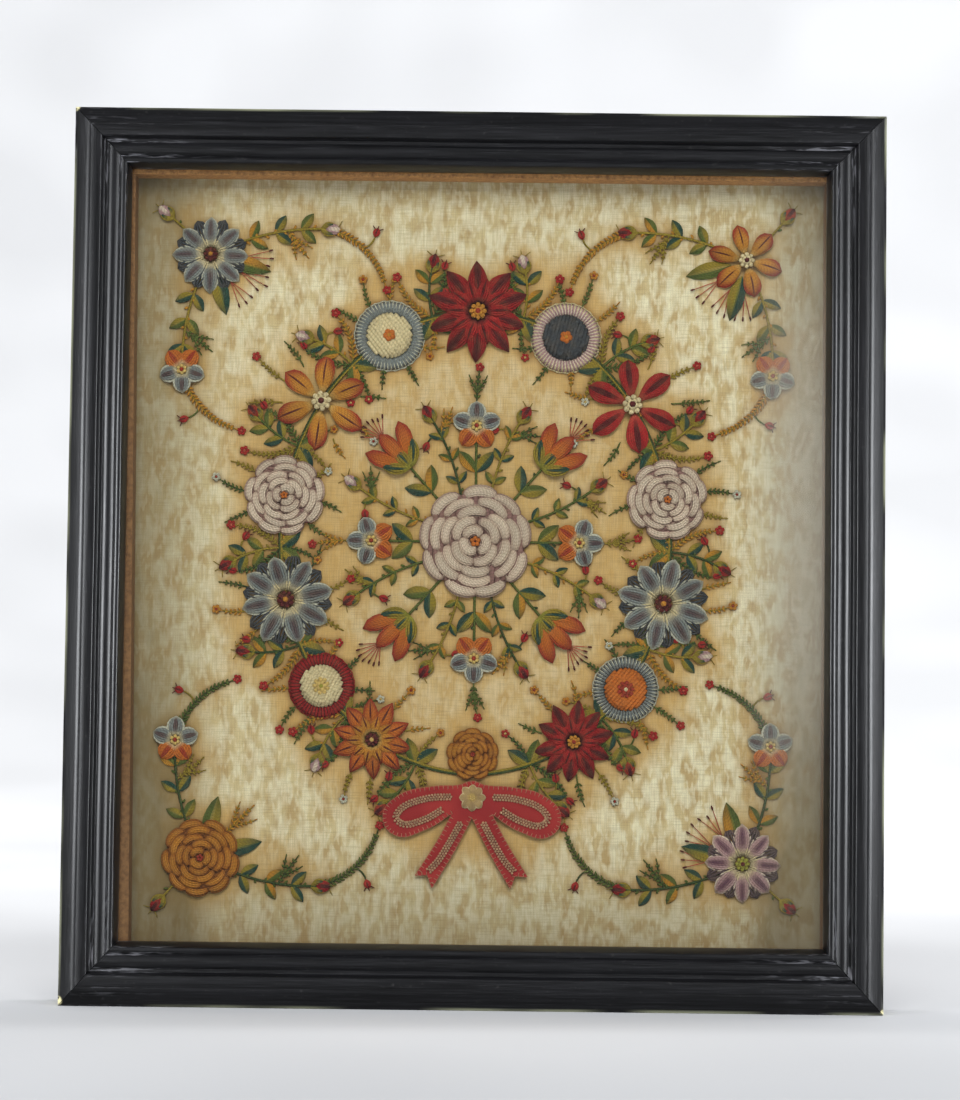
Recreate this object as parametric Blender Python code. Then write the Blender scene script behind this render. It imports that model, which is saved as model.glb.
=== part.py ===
"""Framed panel of raised wool embroidery: a mitred, ebonised moulding, a glass pane, spacer slips and a
silk ground with padded flowers, sprays and a felt bow. It stands on its bottom rail and faces -Y, with its
origin at the middle of its foot."""

from math import atan2, cos, hypot, pi, radians, sin

import bmesh
import bpy
from mathutils import Matrix, Vector

# Outer size of the frame
OUTER_WIDTH = 0.620
OUTER_HEIGHT = 0.682
OUTER_DEPTH = 0.052
FRONT_Y = -OUTER_DEPTH / 2

# Clearance between pieces that touch on the real thing
GAP = 0.0003

# Face width of each rail, as uneven as the old frame is
RAIL_WIDTH = {"left": 0.0430, "right": 0.0445, "top": 0.0455, "bottom": 0.0480}
NOMINAL_RAIL = 0.0430

# Face of the moulding from its outer edge to its sight edge, for a rail of the nominal width
MOULDING = (
    # across, depth, bulge of the stretch that ends here, steps in that stretch
    (0.0000, 0.0078, 0.0000, 1),
    (0.0096, 0.0013, 0.0002, 2),
    (0.0134, 0.0004, 0.0003, 2),
    (0.0208, 0.0004, 0.0004, 3),
    (0.0218, 0.0013, 0.0002, 2),
    (0.0232, 0.0060, 0.0000, 1),
    (0.0258, 0.0060, 0.0000, 1),
    (0.0345, 0.0062, 0.0016, 6),
    (0.0353, 0.0074, 0.0000, 1),
    (0.0362, 0.0066, 0.0000, 1),
    (0.0398, 0.0068, 0.0005, 3),
    (0.0430, 0.0160, 0.0003, 2),
)
LIP_BACK = 0.0190
REBATE = 0.0065

# What lies in the rebate, from the glass to the backboard
GLASS_THICKNESS = 0.0020
SLIP_DEPTH = 0.0177
SILK_THICKNESS = 0.0010
BOARD_THICKNESS = 0.0040
GLASS_FRONT = LIP_BACK + GAP
SLIP_FRONT = GLASS_FRONT + GLASS_THICKNESS + GAP
SILK_FRONT = SLIP_FRONT + SLIP_DEPTH + GAP
BOARD_FRONT = SILK_FRONT + SILK_THICKNESS + GAP

# How far each slip stands past the sight edge at its two ends (left or bottom end first)
SLIP_REVEAL = {
    "left": (0.0073, 0.0020),
    "right": (-0.0004, -0.0004),
    "top": (0.0030, 0.0030),
    "bottom": (-0.0018, -0.0018),
}

# Sight opening
SIGHT_LEFT = -OUTER_WIDTH / 2 + RAIL_WIDTH["left"]
SIGHT_RIGHT = OUTER_WIDTH / 2 - RAIL_WIDTH["right"]
SIGHT_BOTTOM = RAIL_WIDTH["bottom"]
SIGHT_TOP = OUTER_HEIGHT - RAIL_WIDTH["top"]

# Embroidery: sprays lie on the silk, and flowers and the bow lie on the sprays
SPRAY_THICKNESS = 0.0015
SPRAY_FRONT = SILK_FRONT - GAP - SPRAY_THICKNESS
RAISED_FOOT = SPRAY_FRONT - GAP
DESIGN_X = (SIGHT_LEFT + SIGHT_RIGHT) / 2
DESIGN_Z = (SIGHT_BOTTOM + SIGHT_TOP) / 2 + 0.012

# Stems and leaves: those that join a ring are a little slimmer than it and start inside it
STEM_RADIUS = 0.0011
SIDE_STEM_SHARE = 0.92
LEAF_SHARE = 0.96
STEM_SEAT = 0.002
LEAF_SEAT = 0.003

# Sprigs: leaves and buds are (length, width)
SPRIG_STEPS = 4
SPRIG_LEAF = (0.0155, 0.0065)
SPRIG_LEAF_LEAN = 48
VINE_LEAF = (0.0110, 0.0052)
BUD = (0.0150, 0.0090)
BUD_SEAT = 0.0045

# The garland is an oval stem, with a sprig outwards and two leaves inwards between its flowers
GARLAND_ACROSS = 0.150
GARLAND_UP = 0.178
GARLAND_TURNS = 48
GARLAND_SPRIG = 0.040
GARLAND_SPRIG_BEND = 30
GARLAND_SPRIG_PAIRS = 2
GARLAND_LEAF = (0.0200, 0.0085)
GARLAND_LEAF_LEAN = 38
GARLAND_LAST_SPACE = 163

# Flowers on the garland, on one side; the other side mirrors their places
GARLAND_FLOWERS = (
    # degrees from the top, radius, form, wool on the left, wool on the right
    (27.0, 0.0275, "roundel", "blue", "lilac"),
    (53.0, 0.0375, "star", "orange", "crimson"),
    (79.0, 0.0310, "rose", "lilac", "lilac"),
    (105.0, 0.0360, "daisy", "blue", "blue"),
    (129.0, 0.0255, "roundel", "crimson", "mustard"),
    (149.0, 0.0315, "double_daisy", "orange", "crimson"),
)
TOP_FLOWER_RADIUS = 0.0400
FOOT_FLOWER_RADIUS = 0.0200
FOOT_FLOWER_UP = -0.1630

# Centre posy: stems go straight up and round from it, to a blossom and a bell in turn, with vines between
CENTRE_FLOWER_RADIUS = 0.0440
CENTRE_RING_SHARE = 0.7
CENTRE_RING_TURNS = 16
CENTRE_STEMS = 8
CENTRE_STRETCH = 1.12
CENTRE_LEAF = (0.0210, 0.0085)
CENTRE_LEAF_LEAN = 40
CENTRE_LEAF_PLACE = 0.0480
CENTRE_VINE = 0.0740
CENTRE_VINE_BEND = 26
CENTRE_VINE_PAIRS = 3
BELL_RADIUS = 0.0260
BELL_REACH = 0.0830
BLOSSOM_RADIUS = 0.0190
BLOSSOM_REACH = 0.0800

# Corner sprays: leans are measured from the way to the frame's corner
CORNER_ACROSS = 0.2070
CORNER_UP = 0.2320
CORNER_FLOWER_RADIUS = 0.0300
CORNER_FLOWERS = (
    # across, up, form, wool
    (-1, 1, "daisy", "blue"),
    (1, 1, "star", "orange"),
    (-1, -1, "rose", "mustard"),
    (1, -1, "daisy", "lilac"),
)
CORNER_RING_SHARE = 0.5
CORNER_RING_TURNS = 12
CORNER_SPRIGS = (
    # lean, length, pairs of leaves
    (0, 0.030, 0),
    (110, 0.080, 3),
    (-110, 0.080, 3),
)
CORNER_BLOSSOM_RADIUS = 0.0180
CORNER_BEND_SHARE = 0.25
CORNER_LEAF = (0.0360, 0.0110)
CORNER_LEAF_LEAN = 150

# Padded flower forms
FORMS = {
    # petals, notch between petals as a share of the radius, pointed petals, height, points a petal
    "double_daisy": (10, 0.26, True, 0.0080, 2),
    "star": (6, 0.46, True, 0.0070, 4),
    "daisy": (8, 0.30, False, 0.0065, 4),
    "rose": (6, 0.07, False, 0.0085, 4),
    "roundel": (24, 0.03, False, 0.0050, 1),
    "blossom": (5, 0.32, False, 0.0030, 4),
    "bell": (3, 0.20, True, 0.0055, 8),
}
BELL_BODY = 0.66
BELL_FLARE = 0.22
DOME_ROWS = 6
DOME_FULLNESS = 0.8

# Right half of the felt bow, from the top of the knot round to the fork of the tails
BOW_UP = -0.1960
BOW_THICKNESS = 0.0015
BOW_HALF = (
    # across, up, rounded there
    (0.0000, 0.0125, True),
    (0.0095, 0.0095, True),
    (0.0300, 0.0080, True),
    (0.0560, 0.0010, True),
    (0.0680, -0.0140, True),
    (0.0590, -0.0290, True),
    (0.0360, -0.0250, True),
    (0.0150, -0.0120, False),
    (0.0260, -0.0330, True),
    (0.0430, -0.0600, False),
    (0.0335, -0.0590, False),
    (0.0300, -0.0690, False),
    (0.0140, -0.0420, True),
    (0.0000, -0.0150, False),
)

COLOURS = {
    # red, green, blue, roughness
    "ebonised_wood": (0.012, 0.012, 0.014, 0.38),
    "brown_slip": (0.170, 0.085, 0.040, 0.60),
    "pane": (0.80, 0.84, 0.82, 0.05),
    "silk": (0.440, 0.370, 0.240, 0.55),
    "board": (0.330, 0.210, 0.110, 0.80),
    "green_wool": (0.065, 0.085, 0.030, 0.95),
    "crimson_wool": (0.250, 0.020, 0.025, 0.95),
    "orange_wool": (0.480, 0.130, 0.035, 0.95),
    "blue_wool": (0.120, 0.165, 0.210, 0.95),
    "lilac_wool": (0.420, 0.330, 0.320, 0.95),
    "mustard_wool": (0.430, 0.240, 0.050, 0.95),
    "red_felt": (0.380, 0.035, 0.030, 0.95),
}


def clear_scene():
    for obj in list(bpy.data.objects):
        bpy.data.objects.remove(obj)


def make_materials():
    made = {}
    for name, (red, green, blue, roughness) in COLOURS.items():
        material = bpy.data.materials.new(name)
        material.use_nodes = True
        shader = material.node_tree.nodes["Principled BSDF"]
        shader.inputs["Base Color"].default_value = (red, green, blue, 1)
        shader.inputs["Roughness"].default_value = roughness
        shader.inputs["Metallic"].default_value = 0
        made[name] = material
    return made


def new_collection(name):
    collection = bpy.data.collections.new(name)
    bpy.context.scene.collection.children.link(collection)
    return collection


def add_mesh(name, shape, material, smooth=False):
    """A named object from a bmesh."""
    bmesh.ops.recalc_face_normals(shape, faces=shape.faces)
    mesh = bpy.data.meshes.new(name)
    shape.to_mesh(mesh)
    shape.free()
    if smooth:
        mesh.shade_smooth()
        mesh.set_sharp_from_angle(angle=radians(50))
    mesh.materials.append(material)
    obj = bpy.data.objects.new(name, mesh)
    PARTS.objects.link(obj)
    return obj


def mesh_of_curve(curve):
    """The solid of a curve as a bmesh, its loose caps welded on."""
    holder = bpy.data.objects.new("outline", curve)
    bpy.context.scene.collection.objects.link(holder)
    graph = bpy.context.evaluated_depsgraph_get()
    mesh = bpy.data.meshes.new_from_object(holder.evaluated_get(graph))
    shape = bmesh.new()
    shape.from_mesh(mesh)
    bmesh.ops.remove_doubles(shape, verts=shape.verts, dist=0.00001)
    bpy.data.objects.remove(holder)
    bpy.data.curves.remove(curve)
    bpy.data.meshes.remove(mesh)
    return shape


def extruded(points, thickness):
    """A flat outline of straight stretches, as a solid that is centred on its own plane."""
    curve = bpy.data.curves.new("outline", "CURVE")
    curve.dimensions = "2D"
    curve.fill_mode = "BOTH"
    curve.extrude = thickness / 2
    spline = curve.splines.new("POLY")
    spline.points.add(len(points) - 1)
    for point, (across, up) in zip(spline.points, points):
        point.co = (across, up, 0, 1)
    spline.use_cyclic_u = True
    return mesh_of_curve(curve)


def box(name, low, high, material):
    """A plain box between two corners."""
    shape = bmesh.new()
    bmesh.ops.create_cube(shape, size=1)
    low, high = Vector(low), Vector(high)
    size = high - low
    bmesh.ops.scale(shape, vec=size, verts=shape.verts)
    bmesh.ops.translate(shape, vec=(low + high) / 2, verts=shape.verts)
    return add_mesh(name, shape, material)


# Frame


def moulding_points(rail_width):
    """The moulding's section as (across, depth): its face, then the rebate and the back."""
    points = []
    for across, depth, bulge, steps in MOULDING:
        end = Vector((across * rail_width / NOMINAL_RAIL, depth))
        if not points:
            points.append(end)
            continue
        start = points[-1]
        along = end - start
        towards_front = Vector((along.y, -along.x)).normalized()
        for step in range(1, steps + 1):
            share = step / steps
            points.append(start + along * share + towards_front * bulge * 4 * share * (1 - share))
    points.append(Vector((rail_width, LIP_BACK)))
    points.append(Vector((rail_width - REBATE, LIP_BACK)))
    points.append(Vector((rail_width - REBATE, OUTER_DEPTH)))
    points.append(Vector((0, OUTER_DEPTH)))
    return points


def cut(shape, point, normal):
    """Removes what lies past the plane on the normal's side, and closes the cut."""
    everything = list(shape.verts) + list(shape.edges) + list(shape.faces)
    made = bmesh.ops.bisect_plane(
        shape, geom=everything, plane_co=point, plane_no=normal, clear_outer=True
    )
    edges = [part for part in made["geom_cut"] if isinstance(part, bmesh.types.BMEdge)]
    bmesh.ops.contextual_create(shape, geom=edges)


def make_rail(side, material):
    """One mitred rail, drawn along its length from its section and cut to its two mitres."""
    length = OUTER_HEIGHT if side in ("left", "right") else OUTER_WIDTH
    shape = extruded(moulding_points(RAIL_WIDTH[side]), length)
    middle = Vector((0, FRONT_Y, OUTER_HEIGHT / 2))
    inward = {"left": (1, 0, 0), "right": (-1, 0, 0), "top": (0, 0, -1), "bottom": (0, 0, 1)}[side]
    inward = Vector(inward)
    backward = Vector((0, 1, 0))
    along = inward.cross(backward)
    reach = OUTER_WIDTH / 2 if side in ("left", "right") else OUTER_HEIGHT / 2
    place = Matrix((inward, backward, along)).transposed().to_4x4()
    place.translation = middle - inward * reach
    bmesh.ops.transform(shape, matrix=place, verts=shape.verts)
    for corner, other in mitres(side):
        # The mitre runs from the outer corner to the sight corner, and keeps half the gap
        seam = (other - corner).normalized()
        normal = seam.cross(backward)
        if normal.dot(corner - middle - inward * (corner - middle).dot(inward)) < 0:
            normal = -normal
        cut(shape, corner - normal * GAP / 2, normal)
    return add_mesh(f"rail_{side}", shape, material, smooth=True)


def mitres(side):
    """The (outer corner, sight corner) pairs at this rail's two ends."""
    pairs = {}
    for across in ("left", "right"):
        for up in ("bottom", "top"):
            outer_x = OUTER_WIDTH / 2 * (-1 if across == "left" else 1)
            outer_z = 0 if up == "bottom" else OUTER_HEIGHT
            sight_x = SIGHT_LEFT if across == "left" else SIGHT_RIGHT
            sight_z = SIGHT_BOTTOM if up == "bottom" else SIGHT_TOP
            pairs[across, up] = Vector((outer_x, 0, outer_z)), Vector((sight_x, 0, sight_z))
    return [pair for ends, pair in pairs.items() if side in ends]


def make_filling(made):
    """The pane, the silk and its board: each fills the rebate from wall to wall."""
    left = SIGHT_LEFT - REBATE + GAP
    right = SIGHT_RIGHT + REBATE - GAP
    bottom = SIGHT_BOTTOM - REBATE + GAP
    top = SIGHT_TOP + REBATE - GAP
    layers = (
        ("glass_pane", GLASS_FRONT, GLASS_THICKNESS, "pane"),
        ("silk_ground", SILK_FRONT, SILK_THICKNESS, "silk"),
        ("backboard", BOARD_FRONT, BOARD_THICKNESS, "board"),
    )
    for name, front, thickness, slot in layers:
        low = (left, FRONT_Y + front, bottom)
        high = (right, FRONT_Y + front + thickness, top)
        box(name, low, high, made[slot])


def make_slips(material):
    """Four bars that line the rebate: top and bottom run through, left and right fit between them."""
    wall_left = SIGHT_LEFT - REBATE + GAP
    wall_right = SIGHT_RIGHT + REBATE - GAP
    wall_bottom = SIGHT_BOTTOM - REBATE + GAP
    wall_top = SIGHT_TOP + REBATE - GAP
    top_face = SIGHT_TOP - SLIP_REVEAL["top"][0]
    bottom_face = SIGHT_BOTTOM + SLIP_REVEAL["bottom"][0]
    foot, head = bottom_face + GAP, top_face - GAP
    left_foot, left_head = (SIGHT_LEFT + reveal for reveal in SLIP_REVEAL["left"])
    right_foot, right_head = (SIGHT_RIGHT - reveal for reveal in SLIP_REVEAL["right"])
    outlines = {
        "top": ((wall_left, top_face), (wall_right, top_face), (wall_right, wall_top), (wall_left, wall_top)),
        "bottom": (
            (wall_left, wall_bottom),
            (wall_right, wall_bottom),
            (wall_right, bottom_face),
            (wall_left, bottom_face),
        ),
        "left": ((wall_left, foot), (left_foot, foot), (left_head, head), (wall_left, head)),
        "right": ((right_foot, foot), (wall_right, foot), (wall_right, head), (right_head, head)),
    }
    for side, outline in outlines.items():
        shape = extruded(outline, SLIP_DEPTH)
        place_on_panel(shape, 0, 0, 0, SLIP_FRONT + SLIP_DEPTH / 2)
        add_mesh(f"slip_{side}", shape, material)


# Embroidery


def place_on_panel(shape, x, z, turn, depth):
    """Stands a shape that was made flat, with its face up, on the panel: it then faces the front."""
    place = Matrix.Translation((x, FRONT_Y + depth, z))
    stand = Matrix.Rotation(radians(90), 4, "X")
    spin = Matrix.Rotation(turn, 4, "Z")
    bmesh.ops.transform(shape, matrix=place @ stand @ spin, verts=shape.verts)


def petal_reach(form, angle):
    """How far a form's outline reaches at this angle, as a share of its radius. A petal points up."""
    petals, notch, pointed, _, _ = FORMS[form]
    turn = angle - pi / 2
    if form == "bell":
        lobes = 1 - abs(sin(petals * 3 / 2 * turn))
        return BELL_BODY + BELL_FLARE * cos(turn) + notch * lobes * max(0, cos(turn))
    valley = abs(sin(petals * turn / 2)) if pointed else 1 - abs(cos(petals * turn / 2))
    return 1 - notch * valley


def make_flower(name, form, x, z, radius, turn, material):
    """A padded flower: a flat-footed dome whose points are drawn out to petals and sunk between them."""
    petals, notch, _, height, density = FORMS[form]
    segments = petals * density
    shape = bmesh.new()
    bmesh.ops.create_uvsphere(shape, u_segments=segments, v_segments=DOME_ROWS, radius=1)
    everything = list(shape.verts) + list(shape.edges) + list(shape.faces)
    bmesh.ops.bisect_plane(
        shape, geom=everything, plane_co=(0, 0, 0), plane_no=(0, 0, -1), clear_outer=True, dist=0.0001
    )
    rim = [edge for edge in shape.edges if edge.is_boundary]
    bmesh.ops.contextual_create(shape, geom=rim)
    for vertex in shape.verts:
        rho = hypot(vertex.co.x, vertex.co.y)
        angle = atan2(vertex.co.y, vertex.co.x)
        reach = petal_reach(form, angle)
        spread = 1 + (reach - 1) * rho
        sink = (1 - reach) * rho / 2
        crown = max(vertex.co.z, 0) ** DOME_FULLNESS
        vertex.co.x *= radius * spread
        vertex.co.y *= radius * spread
        vertex.co.z = height * crown * (1 - sink)
    place_on_panel(shape, x, z, turn, RAISED_FOOT)
    return add_mesh(name, shape, material, smooth=True)


def garland_point(degrees, side=1):
    """A place on the garland's stem, from its top, clockwise on side 1, and the way outwards there."""
    angle = radians(degrees)
    point = Vector((side * GARLAND_ACROSS * sin(angle), GARLAND_UP * cos(angle)))
    outward = Vector((side * GARLAND_UP * sin(angle), GARLAND_ACROSS * cos(angle))).normalized()
    return point, outward


def turned(vector, degrees):
    """A plane vector turned anticlockwise."""
    angle = radians(degrees)
    across = vector.x * cos(angle) - vector.y * sin(angle)
    up = vector.x * sin(angle) + vector.y * cos(angle)
    return Vector((across, up))


def stem_tube(points, closed=False):
    """A flattened stem through points of the panel's plane. A side stem is a little slimmer than a ring."""
    curve = bpy.data.curves.new("stem", "CURVE")
    curve.dimensions = "3D"
    curve.bevel_depth = STEM_RADIUS
    curve.bevel_resolution = 0
    curve.use_fill_caps = not closed
    spline = curve.splines.new("POLY")
    spline.points.add(len(points) - 1)
    for spline_point, point in zip(spline.points, points):
        spline_point.co = (point.x, point.y, 0, 1)
    spline.use_cyclic_u = closed
    shape = mesh_of_curve(curve)
    lowest = min(vertex.co.z for vertex in shape.verts)
    highest = max(vertex.co.z for vertex in shape.verts)
    thickness = SPRAY_THICKNESS if closed else SPRAY_THICKNESS * SIDE_STEM_SHARE
    bmesh.ops.scale(shape, vec=(1, 1, thickness / (highest - lowest)), verts=shape.verts)
    bmesh.ops.translate(shape, vec=(0, 0, SPRAY_THICKNESS / 2), verts=shape.verts)
    return shape


def leaf(base, direction, size):
    """A pointed leaf or bud: a slim ball whose poles are its ends."""
    length, width = size
    shape = bmesh.new()
    bmesh.ops.create_uvsphere(shape, u_segments=4, v_segments=4, radius=0.5)
    bmesh.ops.scale(shape, vec=(width, SPRAY_THICKNESS * LEAF_SHARE, length), verts=shape.verts)
    direction = direction.normalized()
    along = Vector((direction.x, direction.y, 0))
    upward = Vector((0, 0, 1))
    place = Matrix((along.cross(upward), upward, along)).transposed().to_4x4()
    place.translation = Vector((base.x, base.y, SPRAY_THICKNESS / 2)) + along * length / 2
    bmesh.ops.transform(shape, matrix=place, verts=shape.verts)
    return shape


def sprig_points(base, direction, length, bend):
    """The points of a bending side stem, and the way that its tip points."""
    points = [base]
    heading = direction.normalized()
    for _ in range(SPRIG_STEPS):
        points.append(points[-1] + heading * length / SPRIG_STEPS)
        heading = turned(heading, bend / SPRIG_STEPS)
    return points, heading


def sprig(base, direction, length, bend, pairs, leaf_size=SPRIG_LEAF):
    """A bending side stem with pairs of leaves and a bud at its tip, as a list of shapes."""
    points, heading = sprig_points(base, direction, length, bend)
    shapes = [stem_tube(points)]
    for number in range(pairs):
        place = (number + 1) / (pairs + 1) * SPRIG_STEPS
        before = points[int(place)]
        after = points[int(place) + 1]
        joint = before.lerp(after, place % 1)
        for lean in (SPRIG_LEAF_LEAN, -SPRIG_LEAF_LEAN):
            shapes.append(leaf(joint, turned(after - before, lean), leaf_size))
    shapes.append(leaf(points[-1] - heading * BUD_SEAT, heading, BUD))
    return shapes


def join_shapes(name, shapes, x, z, material):
    """One solid from overlapping shapes: a Boolean union joins all the others to the first."""
    joined = None
    group = bpy.data.collections.new(f"{name}_joined")
    CUTTERS.children.link(group)
    for number, shape in enumerate(shapes):
        place_on_panel(shape, x, z, 0, SILK_FRONT - GAP)
        piece = add_mesh(name if number == 0 else f"{name}_part_{number}", shape, material)
        if number == 0:
            joined = piece
            continue
        PARTS.objects.unlink(piece)
        group.objects.link(piece)
        piece.hide_render = True
        piece.display_type = "WIRE"
    union = joined.modifiers.new("joined", "BOOLEAN")
    union.operation = "UNION"
    union.operand_type = "COLLECTION"
    union.collection = group
    union.solver = "EXACT"
    return joined


def make_garland(material):
    """The oval stem, and in each space between two flowers a sprig outwards and two leaves inwards."""
    ring = [garland_point(360 * step / GARLAND_TURNS)[0] for step in range(GARLAND_TURNS)]
    shapes = [stem_tube(ring, closed=True)]
    stops = [0] + [row[0] for row in GARLAND_FLOWERS]
    spaces = [(start + end) / 2 for start, end in zip(stops, stops[1:])]
    spaces.append(GARLAND_LAST_SPACE)
    for side in (-1, 1):
        for number, degrees in enumerate(spaces):
            point, outward = garland_point(degrees, side)
            bend = GARLAND_SPRIG_BEND * side * (-1) ** number
            shapes += sprig(point, outward, GARLAND_SPRIG, bend, GARLAND_SPRIG_PAIRS)
            for lean in (GARLAND_LEAF_LEAN, -GARLAND_LEAF_LEAN):
                shapes.append(leaf(point - outward * STEM_RADIUS, turned(-outward, lean), GARLAND_LEAF))
    return join_shapes("wool_garland", shapes, DESIGN_X, DESIGN_Z, material)


def centre_way(degrees):
    """The way at these degrees, anticlockwise from straight up, drawn out in height."""
    way = turned(Vector((0, 1)), degrees)
    return Vector((way.x, way.y * CENTRE_STRETCH))


def make_centre_spray(material):
    """A ring under the centre flower, with leafy stems to the bells and blossoms and vines between."""
    radius = CENTRE_FLOWER_RADIUS * CENTRE_RING_SHARE
    turn = 360 / CENTRE_RING_TURNS
    ring = [turned(Vector((radius, 0)), turn * (step + 0.5)) for step in range(CENTRE_RING_TURNS)]
    shapes = [stem_tube(ring, closed=True)]
    for number in range(CENTRE_STEMS):
        degrees = 360 / CENTRE_STEMS * number
        way = centre_way(degrees)
        root = way.normalized() * (radius - STEM_SEAT)
        reach = BLOSSOM_REACH if number % 2 == 0 else BELL_REACH
        shapes.append(stem_tube([root, (root + way * reach) / 2, way * reach]))
        for lean in (CENTRE_LEAF_LEAN, -CENTRE_LEAF_LEAN):
            shapes.append(leaf(way * CENTRE_LEAF_PLACE, turned(way, lean), CENTRE_LEAF))
        between = centre_way(degrees + 180 / CENTRE_STEMS)
        base = between.normalized() * (radius - STEM_SEAT)
        bend = CENTRE_VINE_BEND * (-1) ** number
        heading = turned(between, -bend / 2)
        shapes += sprig(base, heading, CENTRE_VINE, bend, CENTRE_VINE_PAIRS, VINE_LEAF)
    return join_shapes("wool_centre_spray", shapes, DESIGN_X, DESIGN_Z, material)


def corner_arm(outward, side):
    """The tip of a corner spray's long arm on one side, from the middle of its flower, and the way there."""
    _, (lean, length, _), _ = CORNER_SPRIGS
    way = turned(outward, lean * side)
    radius = CORNER_FLOWER_RADIUS * CORNER_RING_SHARE
    bend = lean * side * CORNER_BEND_SHARE
    points, heading = sprig_points(way * (radius - STEM_SEAT), way, length, bend)
    return points[-1], heading


def make_corner_spray(number, x, z, outward, material):
    """A small ring under the corner flower, three sprigs towards the corner and two leaves inwards."""
    radius = CORNER_FLOWER_RADIUS * CORNER_RING_SHARE
    turn = 360 / CORNER_RING_TURNS
    ring = [turned(Vector((radius, 0)), turn * step) for step in range(CORNER_RING_TURNS)]
    shapes = [stem_tube(ring, closed=True)]
    for lean, length, pairs in CORNER_SPRIGS:
        way = turned(outward, lean)
        shapes += sprig(way * (radius - STEM_SEAT), way, length, lean * CORNER_BEND_SHARE, pairs)
    for lean in (CORNER_LEAF_LEAN, -CORNER_LEAF_LEAN):
        way = turned(outward, lean)
        shapes.append(leaf(way * (radius - LEAF_SEAT), way, CORNER_LEAF))
    return join_shapes(f"wool_corner_spray_{number}", shapes, x, z, material)


def bow_outline():
    """The bow's whole outline as rows of (across, up, rounded), its left half mirrored from its right."""
    right = list(BOW_HALF)
    left = [(-across, up, rounded) for across, up, rounded in reversed(right[1:-1])]
    return right + left


def make_bow(material):
    """The bow, cut from one piece of felt."""
    curve = bpy.data.curves.new("bow", "CURVE")
    curve.dimensions = "2D"
    curve.fill_mode = "BOTH"
    curve.extrude = BOW_THICKNESS / 2
    curve.resolution_u = 4
    spline = curve.splines.new("BEZIER")
    rows = bow_outline()
    spline.bezier_points.add(len(rows) - 1)
    for point, (across, up, rounded) in zip(spline.bezier_points, rows):
        point.co = (across, up, 0)
        point.handle_left_type = point.handle_right_type = "AUTO" if rounded else "VECTOR"
    spline.use_cyclic_u = True
    shape = mesh_of_curve(curve)
    place_on_panel(shape, DESIGN_X, DESIGN_Z + BOW_UP, 0, RAISED_FOOT - BOW_THICKNESS / 2)
    return add_mesh("felt_bow", shape, material)


def make_garland_flowers(made):
    """The padded flowers that lie on the garland's stem, each its own piece."""
    top, _ = garland_point(0)
    make_flower(
        "flower_top", "double_daisy", DESIGN_X, DESIGN_Z + top.y, TOP_FLOWER_RADIUS, 0, made["crimson_wool"]
    )
    for number, (degrees, radius, form, left_wool, right_wool) in enumerate(GARLAND_FLOWERS, start=1):
        for side, hand, wool in ((-1, "left", left_wool), (1, "right", right_wool)):
            point, _ = garland_point(degrees, side)
            name = f"flower_{hand}_{number}"
            turn = -side * radians(degrees)
            material = made[f"{wool}_wool"]
            make_flower(name, form, DESIGN_X + point.x, DESIGN_Z + point.y, radius, turn, material)
    foot = DESIGN_Z + FOOT_FLOWER_UP
    make_flower("flower_foot", "rose", DESIGN_X, foot, FOOT_FLOWER_RADIUS, 0, made["mustard_wool"])


def make_centre_flowers(made):
    """The centre flower, with blossoms straight above, beside and below it and bells between them."""
    make_flower("flower_centre", "rose", DESIGN_X, DESIGN_Z, CENTRE_FLOWER_RADIUS, 0, made["lilac_wool"])
    for number in range(4):
        for form, radius, reach, lean, wool in (
            ("blossom", BLOSSOM_RADIUS, BLOSSOM_REACH, 0, "blue_wool"),
            ("bell", BELL_RADIUS, BELL_REACH, 45, "orange_wool"),
        ):
            degrees = 90 * number + lean
            way = centre_way(degrees) * reach
            name = f"{form}_{number + 1}"
            make_flower(name, form, DESIGN_X + way.x, DESIGN_Z + way.y, radius, radians(degrees), made[wool])


def make_corners(made):
    """The four corner groups, numbered from the top left, row by row. The arm beside the frame's upright
    side ends in a blossom."""
    middle_z = (SIGHT_BOTTOM + SIGHT_TOP) / 2
    for number, (across, up, form, wool) in enumerate(CORNER_FLOWERS, start=1):
        x = DESIGN_X + across * CORNER_ACROSS
        z = middle_z + up * CORNER_UP
        outward = Vector((across, up)).normalized()
        turn = atan2(outward.y, outward.x) - pi / 2
        make_flower(f"flower_corner_{number}", form, x, z, CORNER_FLOWER_RADIUS, turn, made[f"{wool}_wool"])
        make_corner_spray(number, x, z, outward, made["green_wool"])
        tip, heading = corner_arm(outward, -across * up)
        make_flower(
            f"blossom_corner_{number}",
            "blossom",
            x + tip.x,
            z + tip.y,
            CORNER_BLOSSOM_RADIUS,
            atan2(heading.y, heading.x) - pi / 2,
            made["blue_wool"],
        )


clear_scene()
PARTS = new_collection("embroidery_panel")
CUTTERS = new_collection("joined_shapes")
materials = make_materials()
for rail_side in RAIL_WIDTH:
    make_rail(rail_side, materials["ebonised_wood"])
make_filling(materials)
make_slips(materials["brown_slip"])
make_garland(materials["green_wool"])
make_centre_spray(materials["green_wool"])
make_garland_flowers(materials)
make_centre_flowers(materials)
make_corners(materials)
make_bow(materials["red_felt"])
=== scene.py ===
"""Looks of a framed raised wool embroidery: moulding, glass, silk, stitched wool and a beaded bow."""

from collections import Counter
from math import cos, hypot, pi, radians, sin

import bpy
import numpy as np
from mathutils import Matrix, Vector


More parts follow.
